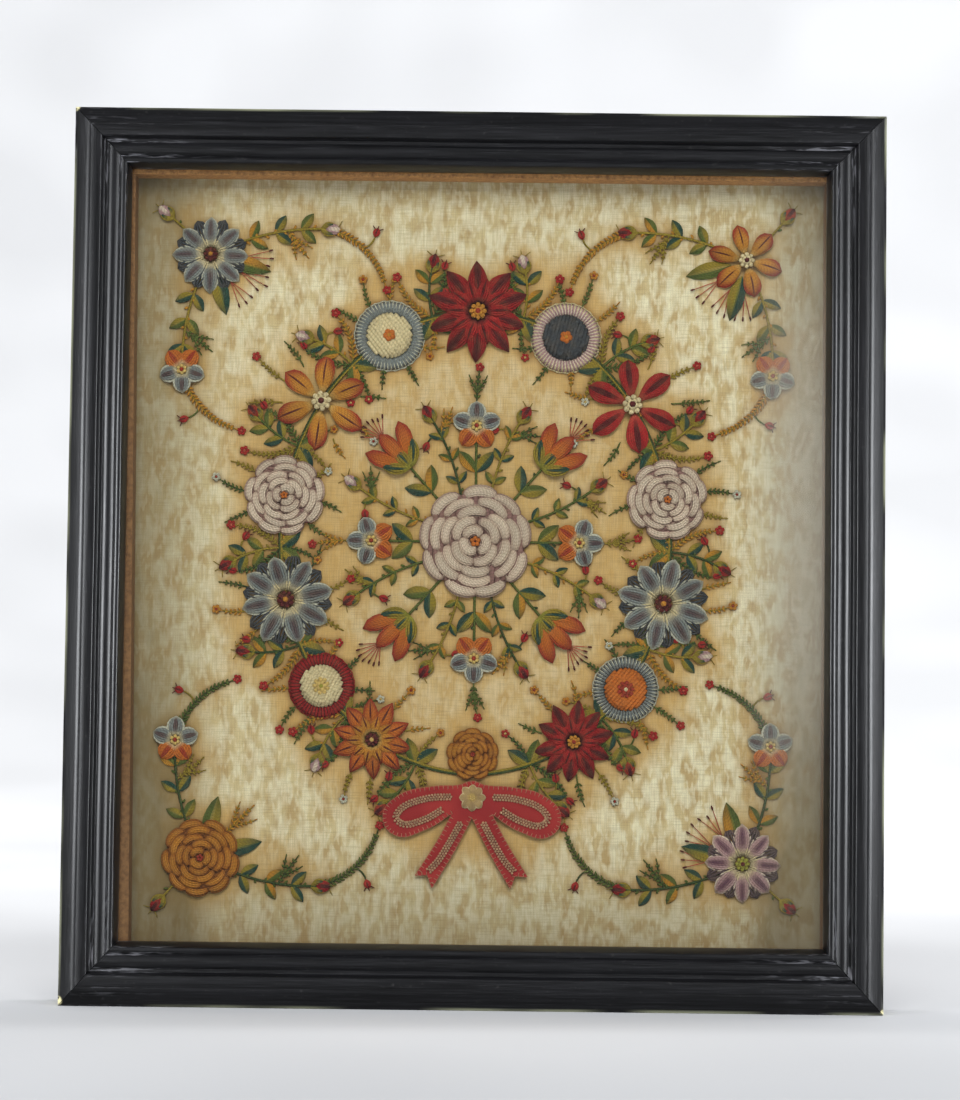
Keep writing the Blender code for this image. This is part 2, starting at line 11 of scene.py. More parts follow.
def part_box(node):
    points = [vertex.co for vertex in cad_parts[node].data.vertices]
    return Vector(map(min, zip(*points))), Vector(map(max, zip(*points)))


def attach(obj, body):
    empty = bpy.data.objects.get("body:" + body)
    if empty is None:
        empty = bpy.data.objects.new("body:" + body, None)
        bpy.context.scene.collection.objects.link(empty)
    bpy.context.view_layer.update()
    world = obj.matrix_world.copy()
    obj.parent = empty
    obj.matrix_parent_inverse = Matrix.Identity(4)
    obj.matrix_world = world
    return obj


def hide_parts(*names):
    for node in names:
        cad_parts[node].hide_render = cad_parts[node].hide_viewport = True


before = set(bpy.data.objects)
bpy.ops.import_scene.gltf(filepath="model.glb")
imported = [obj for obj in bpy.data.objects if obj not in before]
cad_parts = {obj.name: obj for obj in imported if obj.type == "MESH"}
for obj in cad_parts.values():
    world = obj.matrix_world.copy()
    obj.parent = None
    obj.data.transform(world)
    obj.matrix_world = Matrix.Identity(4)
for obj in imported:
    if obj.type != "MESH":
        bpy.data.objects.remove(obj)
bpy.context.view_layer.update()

# Sizes of the frame in metres, as in the solids
OUTER_WIDTH = 0.620
OUTER_HEIGHT = 0.682
OUTER_DEPTH = 0.052
FRONT_Y = -OUTER_DEPTH / 2
GAP = 0.0003
RAIL_WIDTH = {"left": 0.0430, "right": 0.0445, "top": 0.0455, "bottom": 0.0480}
NOMINAL_RAIL = 0.0430
MOULDING = (
    # across, depth, bulge of the stretch that ends here, steps in that stretch
    (0.0000, 0.0078, 0.0000, 1),
    (0.0096, 0.0013, 0.0002, 4),
    (0.0134, 0.0004, 0.0003, 6),
    (0.0208, 0.0004, 0.0004, 10),
    (0.0218, 0.0013, 0.0002, 3),
    (0.0232, 0.0060, 0.0000, 1),
    (0.0258, 0.0060, 0.0000, 1),
    (0.0345, 0.0062, 0.0016, 16),
    (0.0353, 0.0074, 0.0000, 1),
    (0.0362, 0.0066, 0.0000, 1),
    (0.0398, 0.0068, 0.0005, 8),
    (0.0430, 0.0160, 0.0003, 4),
)
LIP_BACK = 0.0190
REBATE = 0.0065
SIGHT_LEFT = -OUTER_WIDTH / 2 + RAIL_WIDTH["left"]
SIGHT_RIGHT = OUTER_WIDTH / 2 - RAIL_WIDTH["right"]
SIGHT_BOTTOM = RAIL_WIDTH["bottom"]
SIGHT_TOP = OUTER_HEIGHT - RAIL_WIDTH["top"]

# How much of an arris is rounded, how wide its wear is, and which faces are long enough to stay unworn
ARRIS = 0.00035
WORN_WIDTH = 0.0014
LONG_FACE = 0.0040
# A rail's steps along its length, how far it sways and heaves, and over what width from its outer side and
# from its lip's back the swaying sets in
RAIL_STEPS = 60
RAIL_SWAY = 0.00012
RAIL_HEAVE = 0.00010
STRAIGHT_SIDE = 0.003
STRAIGHT_BACK = 0.010
# How far each end stays from the mitre, how far scrapes reach from it, and how much of the edge is pale
MITRE_GAP = GAP * 0.75
SCRAPE_REACH = 0.080
RIM_WIDTH = 0.0008
RIM_DEPTH = 0.0088
CHIPS = (
    # x, z, radius: where the frame's outer edge is chipped to the pale wood
    (-0.3095, 0.6815, 0.0034),
    (-0.3100, 0.0040, 0.0040),
    (0.3098, 0.0020, 0.0028),
)
# How high the pale film on the glass is thickest, near its right edge
HAZE_UP = 0.37

# Layout of the embroidery, as in the solids
CLOTH_LOW, CLOTH_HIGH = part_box("silk_ground")
CLOTH_Y = CLOTH_LOW.y
SPRAY_THICKNESS = 0.0015
RAISED_FOOT = GAP + SPRAY_THICKNESS + GAP
SIGHT_MIDDLE = (SIGHT_BOTTOM + SIGHT_TOP) / 2
DESIGN_RAISE = 0.012
DESIGN_X = (SIGHT_LEFT + SIGHT_RIGHT) / 2
DESIGN_Z = SIGHT_MIDDLE + DESIGN_RAISE
GARLAND_ACROSS = 0.150
GARLAND_UP = 0.178
GARLAND_FLOWERS = (
    # degrees from the top, radius, form, wool on the left, wool on the right
    (27.0, 0.0275, "roundel", "blue", "lilac"),
    (53.0, 0.0375, "star", "orange", "crimson"),
    (79.0, 0.0310, "rose", "lilac", "lilac"),
    (105.0, 0.0360, "daisy", "blue", "blue"),
    (129.0, 0.0255, "roundel", "crimson", "mustard"),
    (149.0, 0.0315, "double_daisy", "orange", "crimson"),
)
TOP_FLOWER_RADIUS = 0.0400
FOOT_FLOWER_RADIUS = 0.0200
FOOT_FLOWER_UP = -0.1630
GARLAND_SPRIG = 0.040
GARLAND_SPRIG_BEND = 30
GARLAND_LEAF = 0.0200
GARLAND_LEAF_LEAN = 38
GARLAND_LAST_SPACE = 163
CENTRE_FLOWER_RADIUS = 0.0440
CENTRE_RING = 0.0308
CENTRE_STRETCH = 1.12
CENTRE_LEAF = 0.0210
CENTRE_LEAF_LEAN = 40
CENTRE_LEAF_PLACE = 0.0480
CENTRE_VINE = 0.0740
CENTRE_VINE_BEND = 26
VINE_LEAF = 0.0110
SPRIG_LEAF = 0.0155
BELL_RADIUS = 0.0260
BELL_REACH = 0.0830
BLOSSOM_RADIUS = 0.0190
BLOSSOM_REACH = 0.0800
CORNER_ACROSS = 0.2070
CORNER_UP = 0.2320
CORNER_FLOWER_RADIUS = 0.0300
CORNER_FLOWERS = (
    # across, up, form, wool
    (-1, 1, "daisy", "blue"),
    (1, 1, "star", "orange"),
    (-1, -1, "rose", "mustard"),
    (1, -1, "daisy", "lilac"),
)
CORNER_ARM = 0.080
CORNER_ARM_LEAN = 110
CORNER_BEND_SHARE = 0.25
CORNER_BLOSSOM_RADIUS = 0.0180
CORNER_LEAF = 0.0360
CORNER_LEAF_LEAN = 150
STEM_SEAT = 0.002
LEAFLET = 0.0042
LEAFLET_PITCH = 0.0075
BUD_LENGTH = 0.0150
BUD_SEAT = 0.0045
BOW_UP = -0.1960
BOW_THICKNESS = 0.0015
FELT_ROUNDING = 0.0003
BOW_HALF = (
    # across, up, rounded there
    (0.0000, 0.0125, True),
    (0.0095, 0.0095, True),
    (0.0300, 0.0080, True),
    (0.0560, 0.0010, True),
    (0.0680, -0.0140, True),
    (0.0590, -0.0290, True),
    (0.0360, -0.0250, True),
    (0.0150, -0.0120, False),
    (0.0260, -0.0330, True),
    (0.0430, -0.0600, False),
    (0.0335, -0.0590, False),
    (0.0300, -0.0690, False),
    (0.0140, -0.0420, True),
    (0.0000, -0.0150, False),
)
BOW_LINES = (
    # the loop's line and the tail's line of beads on the right half, as (across, up)
    (
        (0.0150, 0.0005),
        (0.0320, -0.0005),
        (0.0500, -0.0060),
        (0.0580, -0.0150),
        (0.0510, -0.0210),
        (0.0360, -0.0170),
        (0.0230, -0.0095),
    ),
    ((0.0080, -0.0180), (0.0150, -0.0310), (0.0245, -0.0470), (0.0325, -0.0560)),
)
BEAD_RADIUS = 0.00100
SEWING_PITCH = 0.0036

# The silk's points across and up, how far back it lies, how many waves pucker it and how deep, its
# thickness, and how many cells the stain and the grime with painted shadow spread round the stitches
SILK_GRID = (177, 195)
SILK_SINK = 0.0002
SILK_WAVES = 14
SILK_PUCKER = 0.0005
SILK_THICKNESS = 0.0004
SILK_SPREADS = {"halo": 15, "grime_and_shadow": 3}
CELL = 0.001

# Wool: how thick one padded stitch may be, how many sides its tube has, and how long its ply's turn is
THINNEST = 0.00028
THICKEST = 0.00095
SIDES = 6
PLY_TURN = 0.0026
# Dyes, as sRGB values out of 255
DYES = {
    "crimson": (162, 30, 40),
    "bright_red": (186, 42, 48),
    "wine": (84, 24, 36),
    "maroon": (98, 32, 40),
    "brick": (170, 58, 46),
    "orange": (212, 120, 50),
    "amber": (184, 116, 46),
    "gold": (214, 150, 60),
    "mustard": (206, 150, 54),
    "straw": (232, 204, 132),
    "cream": (238, 226, 190),
    "blue": (134, 146, 156),
    "slate": (68, 77, 90),
    "pale_blue": (220, 224, 216),
    "mouse": (98, 84, 94),
    "lilac": (190, 156, 170),
    "pale_lilac": (242, 230, 221),
    "plum": (112, 76, 102),
    "mauve": (150, 116, 118),
    "shell": (226, 206, 197),
    "umber": (134, 80, 38),
    "teal": (32, 79, 74),
    "deep_green": (60, 86, 50),
    "green": (92, 113, 54),
    "olive": (162, 145, 54),
    "lime": (166, 168, 72),
    "rose_pink": (206, 98, 84),
    "beige": (196, 170, 124),
    "thread": (206, 168, 140),
}
# What age has left of each dye's red, green and blue
AGE = (0.82, 0.76, 0.64)
# Leaves take turns at (left, right, vein, tip), ferns and stems at (stem, leaflets), and tiny flowers at
# (loops, middle)
LEAF_DYES = (
    ("olive", "teal", "lime", "teal"),
    ("mustard", "green", "olive", "deep_green"),
    ("teal", "olive", "lime", "teal"),
    ("green", "olive", "straw", "deep_green"),
)
FERN_DYES = (("deep_green", "green"), ("olive", "mustard"), ("green", "green"), ("olive", "olive"))
BUD_DYES = ("crimson", "lilac", "brick", "crimson")
INNER_STARLETS = (("pale_blue", "straw"), ("gold", "brick"), ("bright_red", "straw"))
FROND_STARLETS = (("bright_red", "rose_pink"), ("pale_blue", "brick"), ("gold", "brick"))

# Camera: its focal length in pixels of the photo, its place, and its yaw, pitch and roll in degrees
PHOTO_HEIGHT = 1100
FOCAL_PIXELS = 2645
CAMERA_PLACE = (0.0043, FRONT_Y - 1.9935, 0.2414)
CAMERA_TURNS = (-0.037, 3.004, 0.688)
# The floor: how far it lies below the part, its sides, and how it rises into a backdrop
FLOOR_DROP = 0.0002
FLOOR_SIDES = 96
FLOOR_RISE = (
    # radius, height
    (1.3, 0.0),
    (2.0, 0.01),
    (2.8, 0.07),
    (3.5, 0.20),
    (4.1, 0.42),
    (4.7, 0.80),
    (5.2, 1.32),
    (5.5, 1.90),
    (5.7, 2.70),
    (5.8, 3.60),
    (5.8, 5.0),
)
LAMPS = (
    # name, place, target, width and height, power, seen in the polish
    ("left_softbox", (-1.55, -1.35, 0.40), (0, 0, OUTER_HEIGHT / 2), (0.9, 0.70), 40, True),
    ("right_softbox", (1.60, -1.25, 0.40), (0, 0, OUTER_HEIGHT / 2), (0.9, 0.70), 44, True),
    ("backdrop_lamp", (0.7, 0.4, 3.1), (0.3, 5.6, 1.7), (4.5, 1.2), 330, False),
    ("front_fill", (0, -3.0, 2.4), (0, 0, OUTER_HEIGHT / 2), (2.6, 1.6), 105, False),
)
COOL_LIGHT = (0.93, 0.96, 1.0)
WHITE_LIGHT = (1.0, 1.0, 1.0)
ROOM_LIGHT = (0.95, 0.97, 1.0, 1)
ROOM_STRENGTH = 0.15
LIGHT_BOUNCES = 2

# Where the stitches lie, as arrays of (across, up), and the glass with the pieces behind it
STITCHED = []
BEHIND_GLASS = []


# Meshes


def added(name, data):
    """A new object in the scene."""
    obj = bpy.data.objects.new(name, data)
    bpy.context.scene.collection.objects.link(obj)
    return obj


def mesh_object(name, points, faces, smooth_angle=180):
    """An object from points and faces, shaded smooth up to an angle in degrees."""
    mesh = bpy.data.meshes.new(name)
    mesh.from_pydata(np.array(points).tolist(), [], faces)
    mesh.update()
    mesh.shade_smooth()
    if smooth_angle < 180:
        mesh.set_sharp_from_angle(angle=radians(smooth_angle))
    return added(name, mesh)


def wrapped_faces(rows, around, first=0):
    """Faces between rows of points that each go once round, from the point with the index first."""
    row = first + np.arange(rows)[:, None] * around
    here = row + np.arange(around)
    beside = row + (np.arange(around) + 1) % around
    return np.stack((here, here + around, beside + around, beside), axis=-1).reshape(-1, 4)


def point_attribute(obj, name, kind, values):
    """Gives each point of the object's mesh a value that its material reads."""
    attribute = obj.data.attributes.new(name, kind, "POINT")
    field = {"FLOAT": "value", "FLOAT_VECTOR": "vector", "FLOAT_COLOR": "color"}[kind]
    attribute.data.foreach_set(field, np.ascontiguousarray(values, np.float32).ravel())


def dress(obj, material, slot, *nodes):
    """Finishes a piece: its material, the nodes that it stands for and, unless its slot is the ebonised
    wood, a place among the pieces behind the glass.
    """
    obj.data.materials.clear()
    obj.data.materials.append(MATERIALS[material])
    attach(obj, "root")
    if nodes:
        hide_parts(*nodes)
    if slot != "ebonised_wood":
        BEHIND_GLASS.append(obj)


# Ways and paths in the plane of the cloth


def unit(vector):
    return vector / np.linalg.norm(vector)


def way(degrees):
    """The way at these degrees, anticlockwise from straight up."""
    return np.array((-sin(radians(degrees)), cos(radians(degrees))))


def degrees_of(heading):
    """The degrees of a way, anticlockwise from straight up."""
    return np.degrees(np.arctan2(heading[1], heading[0])) - 90


def turned(vector, degrees):
    """The vector turned anticlockwise."""
    x, y = vector
    angle = radians(degrees)
    return np.array((x * cos(angle) - y * sin(angle), x * sin(angle) + y * cos(angle)))


def right_of(ahead):
    """The vector turned by a quarter clockwise."""
    return np.array((ahead[1], -ahead[0]))


def ring_of(count, radius, start=0.0):
    """Places on a circle."""
    return [way(start + 360 * number / count) * radius for number in range(count)]


def curve_from(base, heading, length, bend, steps=12):
    """Points of a path that leaves base along heading and turns by bend degrees over its length."""
    points = [np.array(base, float)]
    heading = turned(unit(heading), bend / steps / 2)
    for _ in range(steps):
        points.append(points[-1] + heading * length / steps)
        heading = turned(heading, bend / steps)
    return np.array(points)


def reached_along(points):
    """How far along a path each of its points lies."""
    hops = np.linalg.norm(np.diff(points, axis=0), axis=1)
    return np.concatenate(([0], np.cumsum(hops)))


def along_path(points, share):
    """The place and the way at a share of a path's length."""
    reached = reached_along(points)
    distance = np.clip(share, 0, 1) * reached[-1]
    place = np.array([np.interp(distance, reached, points[:, axis]) for axis in (0, 1)])
    hop = min(np.searchsorted(reached, distance, side="right"), len(points) - 1) - 1
    return place, unit(points[hop + 1] - points[hop])


def smooth_path(points, steps=8):
    """A rounded path through points, on Catmull-Rom curves."""
    points = np.array(points)
    ends = np.vstack((2 * points[0] - points[1], points, 2 * points[-1] - points[-2]))
    path = []
    for first, second, third, fourth in zip(ends, ends[1:], ends[2:], ends[3:]):
        for t in np.arange(steps) / steps:
            slope = third - first
            curl = 2 * first - 5 * second + 4 * third - fourth
            twist = 3 * second - first - 3 * third + fourth
            path.append(0.5 * (2 * second + slope * t + curl * t**2 + twist * t**3))
    return np.array(path + [points[-1]])


# Outlines of petals, as the share of their width at t, the way from root to tip


def pointed(t):
    return np.sin(pi * t**0.85) ** 0.85


def blunt(t):
    """Slim at the root, widest two thirds out, with a round end."""
    return np.sin(pi * t**1.25) ** 0.62 * (0.62 + 0.38 * t)


def rounded(t):
    return np.sin(pi * t) ** 0.6


def slim(t):
    return np.sin(pi * t) ** 0.75


# Dyes


def linear(red, green, blue):
    """A linear colour from sRGB values out of 255."""
    values = np.array((red, green, blue)) / 255
    return np.where(values <= 0.04045, values / 12.92, ((values + 0.055) / 1.055) ** 2.4)


DYE = {name: linear(*values) * AGE for name, values in DYES.items()}


def soft(value, low, high):
    """The value's way from low to high, eased and held between 0 and 1."""
    share = np.clip((value - low) / (high - low), 0, 1)
    return share * share * (3 - 2 * share)


def blend(first, second, share):
    return first * (1 - share) + DYE[second] * share


def layered(root, *layers):
    """A dye with others over it, as (dye, share). A share goes by t, the way from root to tip, and s, the
    way across from -1 to 1."""

    def dye(t, s):
        shape = (len(s), len(t), 1)
        t = np.broadcast_to(t[None, :, None], shape)
        s = np.broadcast_to(s[:, None, None], shape)
        colour = DYE[root]
        for name, share in layers:
            colour = blend(colour, name, share(t, s))
        return colour

    return dye


def flamed(root, flank, flame, rib, rib_width=0.20):
    """A petal's dyes: root, flanks and a flame that widens to the tip, with a dark rib along it."""
    return layered(
        root,
        (flank, lambda t, s: soft(t, 0.06, 0.34)),
        (flame, lambda t, s: soft(0.22 + 0.95 * t**2.4 - abs(s), -0.10, 0.22) * soft(t, 0.10, 0.36)),
        (rib, lambda t, s: soft(rib_width - abs(s), -0.06, 0.10) * soft(t, 0.16, 0.42) * 0.9),
    )


def rimmed(root, body, edge, rib):
    """A petal's dyes: one all over, with a pale edge and root and a dull rib."""

    def edge_share(t, s):
        return np.maximum(soft(abs(s), 0.68, 0.92), soft(t, 0.86, 0.97)) * soft(t, 0.02, 0.2) * 0.85

    return layered(
        root,
        (body, lambda t, s: soft(t, 0.05, 0.34)),
        (rib, lambda t, s: soft(0.34 - abs(s), -0.12, 0.20) * soft(t, 0.20, 0.45) * (1 - soft(t, 0.8, 1))),
        (edge, edge_share),
    )


def ripened(body, root="straw", tip="brick", rib="maroon"):
    """A petal's dyes: pale at the root, then one dye, and a second down its edges from the tip."""
    return layered(
        root,
        (body, lambda t, s: soft(t, 0.04, 0.26)),
        (tip, lambda t, s: soft(t + 0.36 * s**2, 0.56, 1.12)),
        (rib, lambda t, s: soft(0.12 - abs(s), -0.05, 0.08) * soft(t, 0.24, 0.46) * (1 - soft(t, 0.82, 1))),
    )


def leaf_dye(number):
    """A leaf's dyes: one on each side of its vein, and a darker tip."""
    left, right, vein, tip = LEAF_DYES[number % 4]
    return layered(
        left,
        (right, lambda t, s: np.clip(s / 0.3 + 0.5, 0, 1)),
        (tip, lambda t, s: np.clip((t - 0.55) / 0.4, 0, 1) * 0.75),
        (vein, lambda t, s: np.clip((0.16 - abs(s)) / 0.08, 0, 1) * np.clip(1.2 - t, 0, 1) * 0.7),
    )


# Stitches


class Work:
    """The stitches, knots and beads of one piece. They are drawn as (across, up, out), where out is the
    distance in front of the cloth, about (0, 0), and then turned by degrees and put at (x, z)."""

    def __init__(self, seed, x=DESIGN_X, z=DESIGN_Z, degrees=0.0):
        angle = radians(degrees)
        self.turn = np.array(((cos(angle), sin(angle)), (-sin(angle), cos(angle))))
        self.place = np.array((x, z))
        self.chance = np.random.default_rng(seed)
        self.count = 0
        self.points = []
        self.dyes = []
        self.lays = []
        self.quads = []
        self.caps = []

    def tubes(self, paths, radii, dyes, sides=SIDES, uneven=0.10):
        """Tubes along paths (tube, step, axis), with radii (tube, step) and dyes (tube, step, colour)."""
        paths = np.array(paths, float)
        tubes, steps, _ = paths.shape
        paths[..., :2] = paths[..., :2] @ self.turn + self.place
        ahead = np.gradient(paths, axis=1)
        ahead /= np.maximum(np.linalg.norm(ahead, axis=2, keepdims=True), 1e-9)
        side = np.cross(ahead, (0.0, 0.0, 1.0))
        flat = np.linalg.norm(side, axis=2, keepdims=True)
        side = np.where(flat > 0.05, side / np.maximum(flat, 1e-9), (1.0, 0.0, 0.0))
        front = np.cross(side, ahead)
        angles = np.arange(sides) * 2 * pi / sides
        spokes = np.stack((np.cos(angles), np.sin(angles)), axis=1)
        ring = side[:, :, None] * spokes[:, :1] + front[:, :, None] * spokes[:, 1:]
        points = paths[:, :, None] + ring * np.broadcast_to(radii, (tubes, steps))[:, :, None, None]
        hops = np.linalg.norm(np.diff(paths, axis=1), axis=2)
        reached = np.concatenate((np.zeros((tubes, 1)), np.cumsum(hops, axis=1)), axis=1)
        lays = np.empty(points.shape)
        lays[..., 0] = (reached + self.chance.uniform(0, 0.01, (tubes, 1)))[:, :, None]
        lays[..., 1:] = spokes
        dyes = np.broadcast_to(dyes, (tubes, steps, 3))
        dyes = dyes * (1 + self.chance.uniform(-uneven, uneven, (tubes, 1, 1)))
        starts = self.count + np.arange(tubes)[:, None] * steps * sides
        self.quads.append((starts[..., None] + wrapped_faces(steps - 1, sides)).reshape(-1, 4))
        self.caps.append(starts + np.arange(sides))
        self.caps.append(starts + (steps - 1) * sides + np.arange(sides)[::-1])
        self.points.append(points.reshape(-1, 3))
        self.dyes.append(np.repeat(dyes[:, :, None], sides, axis=2).reshape(-1, 3))
        self.lays.append(lays.reshape(-1, 3))
        self.count += tubes * steps * sides

    def pad(self, base, tip, half_width, rows, outline, foot, crown, dye, bow=0.0, tone=1.0, steps=8):
        """Stitches side by side over a padding, from base to tip."""
        t = np.linspace(0, 1, steps)
        s = np.linspace(-1, 1, rows)
        base, tip = np.array(base, float), np.array(tip, float)
        length = hypot(*(tip - base))
        ahead = (tip - base) / length
        aside = right_of(ahead)
        width = half_width * outline(t)
        centre = base + ahead * length * t[:, None] + aside * (bow * length * 4 * t * (1 - t))[:, None]
        flat = centre[None] + aside * (s[:, None] * width)[:, :, None]
        radii = np.clip(width / (rows - 1) * 1.25, THINNEST, THICKEST)
        rise = np.maximum(np.sin(pi * t), 0) ** 0.6 * np.sqrt(1 - 0.85 * s[:, None] ** 2)
        out = foot + radii + crown * rise
        paths = np.concatenate((flat, out[:, :, None]), axis=2)
        paths[:, 1:-1] += self.chance.normal(0, 0.00008, (rows, steps - 2, 3))
        self.tubes(paths, radii, dye(t, s) * tone, uneven=0.07)

    def button(self, radius, foot, crown, dye, rows, degrees=0.0):
        """A round of parallel stitches over a padding."""
        s = np.linspace(-0.94, 0.94, rows)[:, None]
        t = np.linspace(-1, 1, 7)
        reach = np.sqrt(1 - s**2) * t
        ahead = way(degrees)
        flat = (s * radius * turned(ahead, -90))[:, None] + reach[:, :, None] * radius * ahead
        thickness = radius * 1.88 / (rows - 1) * 0.62
        out = foot + thickness + crown * np.sqrt(1 - np.minimum(s**2 + reach**2, 1))
        self.tubes(np.concatenate((flat, out[:, :, None]), axis=2), thickness, DYE[dye])

    def knots(self, places, radius, out, name, uneven=0.1):
        """French knots or beads: small balls, each lying along a way of its own."""
        angles = np.radians((16, 62, 118, 164))
        spin = self.chance.uniform(0, pi, len(places))
        paths = np.zeros((len(places), len(angles), 3))
        paths[..., 0] = -np.cos(spin)[:, None] * np.cos(angles) * radius
        paths[..., 1] = -np.sin(spin)[:, None] * np.cos(angles) * radius
        paths[..., :2] += np.array(places, float)[:, None]
        paths[..., 2] += out + radius * 0.8
        self.tubes(paths, np.sin(angles) * radius * 1.06, DYE[name], sides=7, uneven=uneven)

    def stitches(self, ends, radius, name, out=0.0, arch=0.0006, sides=4, steps=3, end_share=0.7):
        """Straight stitches from (start, end) pairs, which rise from the cloth and go back into it."""
        ends = np.array(ends, float)
        t = np.linspace(0, 1, steps)
        flat = ends[:, :1] * (1 - t)[None, :, None] + ends[:, 1:] * t[None, :, None]
        rise = np.broadcast_to(out + radius * 0.8 + arch * np.sin(pi * t), flat.shape[:2])
        taper = radius * (end_share + (1 - end_share) * np.sin(pi * t))
        self.tubes(np.concatenate((flat, rise[:, :, None]), axis=2), taper, DYE[name], sides=sides)

    def stem(self, points, radius, name, out=0.0):
        """Stem stitch along a path: slanting stitches that overlap by half."""
        count = max(int(reached_along(points)[-1] / (radius * 3.2)), 2)
        ends = []
        for number in range(count):
            start, ahead = along_path(points, (number - 0.35) / count)
            end, _ = along_path(points, (number + 1.55) / count)
            aside = right_of(ahead) * radius * 0.55
            ends.append((start - aside, end + aside))
        self.stitches(ends, radius, name, out, arch=radius * 0.5)

    def leafy(self, points, name, leaf_name, radius=0.0009, start=0.1, end=1.0):
        """A stem with small leaves of two stitches each, on its two sides in turn."""
        self.stem(points, radius, name)
        count = int(reached_along(points)[-1] * (end - start) / LEAFLET_PITCH)
        ends = []
        for number in range(count):
            place, ahead = along_path(points, start + (end - start) * (number + 0.5) / count)
            lean = (1 if number % 2 else -1) * self.chance.uniform(38, 58)
            size = LEAFLET * self.chance.uniform(0.8, 1.15)
            out = turned(ahead, lean)
            aside = right_of(out) * radius * 0.55
            ends.append((place + out * radius, place + out * size + aside * 0.3))
            ends.append((place + out * radius * 1.6 + aside * 1.4, place + out * size * 0.92 + aside))
        self.stitches(ends, radius * 0.8, leaf_name, arch=0.0005)

    def fern(self, points, name, leaf_name, radius=0.0006, pitch=0.0034, leaflet=0.0050, start=0.12):
        """A stem with short slanting stitches on both sides that shorten towards its tip."""
        self.stem(points, radius, name)
        count = int(reached_along(points)[-1] * (1 - start) / pitch)
        ends = []
        for number in range(count):
            share = start + (1 - start) * number / count
            place, ahead = along_path(points, share)
            size = leaflet * (0.55 + 0.45 * (1 - share)) * self.chance.uniform(0.85, 1.15)
            for lean in (44, -44):
                ends.append((place, place + turned(ahead, lean + self.chance.uniform(-7, 7)) * size))
        self.stitches(ends, radius * 1.6, leaf_name, arch=0.0004, end_share=0.4)
        tip, ahead = along_path(points, 1)
        self.stitches([(tip, tip + ahead * leaflet * 0.8)], radius, leaf_name)
        return tip, ahead

    def leaf(self, base, heading, length, dye, share=0.21, rows=8):
        """A padded leaf, its half width a share of its length."""
        tip = base + unit(heading) * length
        self.pad(base, tip, length * share, rows, slim, 0.0, 0.0011, dye, steps=7)

    def bud(self, stem, number):
        """A padded bud at a stem's tip, in a cup of sepals whose tips stand past it."""
        tip, heading = along_path(stem, 1)
        at = tip - heading * BUD_SEAT
        length = BUD_LENGTH
        name = BUD_DYES[number % 4]
        bloom = flamed(name, name, "pale_lilac" if name == "lilac" else "wine", "plum", 0.16)
        base = at + heading * length * 0.22
        self.pad(base, at + heading * length, length * 0.23, 6, slim, 0.0004, 0.0022, bloom)
        cup = flamed("olive", "olive", "teal", "teal", 0.3)
        for side in (-1, 1):
            start = at - heading * length * 0.05
            end = at + turned(heading, -6 * side) * length * 0.86
            self.pad(start, end, length * 0.115, 4, slim, 0.0006, 0.0014, cup, bow=0.20 * side, steps=7)
            outer = curve_from(at, turned(heading, -58 * side), length * 0.7, 66 * side, 6)
            self.stem(outer, 0.00045, "olive")
        whiskers = [
            (at + turned(heading, lean * 0.35) * length * 0.9, at + turned(heading, lean) * length * reach)
            for lean, reach in ((-24, 1.16), (0, 1.24), (24, 1.16))
        ]
        self.stitches(whiskers, 0.00036, "olive")

    def stamens(self, base, heading, count, spread, length):
        """Thin straight stitches that fan out, each with a knob at its end."""
        stalks = []
        knobs = []
        for number in range(count):
            reach = length * self.chance.uniform(0.82, 1.08)
            ahead = turned(unit(heading), spread * (number / (count - 1) - 0.5))
            tip = base + ahead * reach
            stalks.append((base, tip))
            knobs.append((tip - ahead * 0.0006, tip + ahead * 0.0026))
        self.stitches(stalks, 0.00038, "rose_pink", out=0.0004)
        self.stitches(knobs, 0.00078, "maroon", out=0.0006)

    def starlet(self, at, radius, name, middle):
        """A tiny flower of five short loops round one knot."""
        start = self.chance.uniform(0, 72)
        ends = []
        for number in range(5):
            ahead = way(start + 72 * number)
            aside = right_of(ahead) * radius * 0.22
            for half in (-aside, aside):
                ends.append((at + ahead * radius * 0.25 + half, at + ahead * radius + half * 0.6))
        self.stitches(ends, radius * 0.24, name, out=0.0002)
        self.knots([at], radius * 0.30, 0.0004, middle)

    def drop(self, at, heading, length):
        """A small hanging bell: a padded drop with three short points."""
        heading = unit(heading)
        dye = flamed("bright_red", "bright_red", "crimson", "wine")
        self.pad(at, at + heading * length, length * 0.30, 5, slim, 0.0003, 0.0018, dye, steps=6)
        for lean in (-28, 0, 28):
            start = at + turned(heading, lean * 0.5) * length * 0.8
            tip = at + turned(heading, lean) * length * 1.22
            self.stitches([(start, tip)], 0.00042, "maroon", out=0.0004)

    def finish(self, name, slot, *nodes, material="wool"):
        """Makes the object, which then rides with the frame."""
        across, up, out = np.concatenate(self.points).T
        STITCHED.append(np.stack((across, up), axis=1))
        points = np.stack((across, CLOTH_Y - np.maximum(out, GAP / 3), up), axis=1)
        caps = [row for rows in self.caps for row in rows.tolist()]
        obj = mesh_object(name, points, np.concatenate(self.quads).tolist() + caps)
        dyes = np.concatenate(self.dyes)
        point_attribute(obj, "dye", "FLOAT_COLOR", np.hstack((dyes, np.ones((len(dyes), 1)))))
        point_attribute(obj, "lay", "FLOAT_VECTOR", np.concatenate(self.lays))
        dress(obj, material, slot, *nodes)


# Flowers: each form is drawn about (0, 0) with one petal straight up


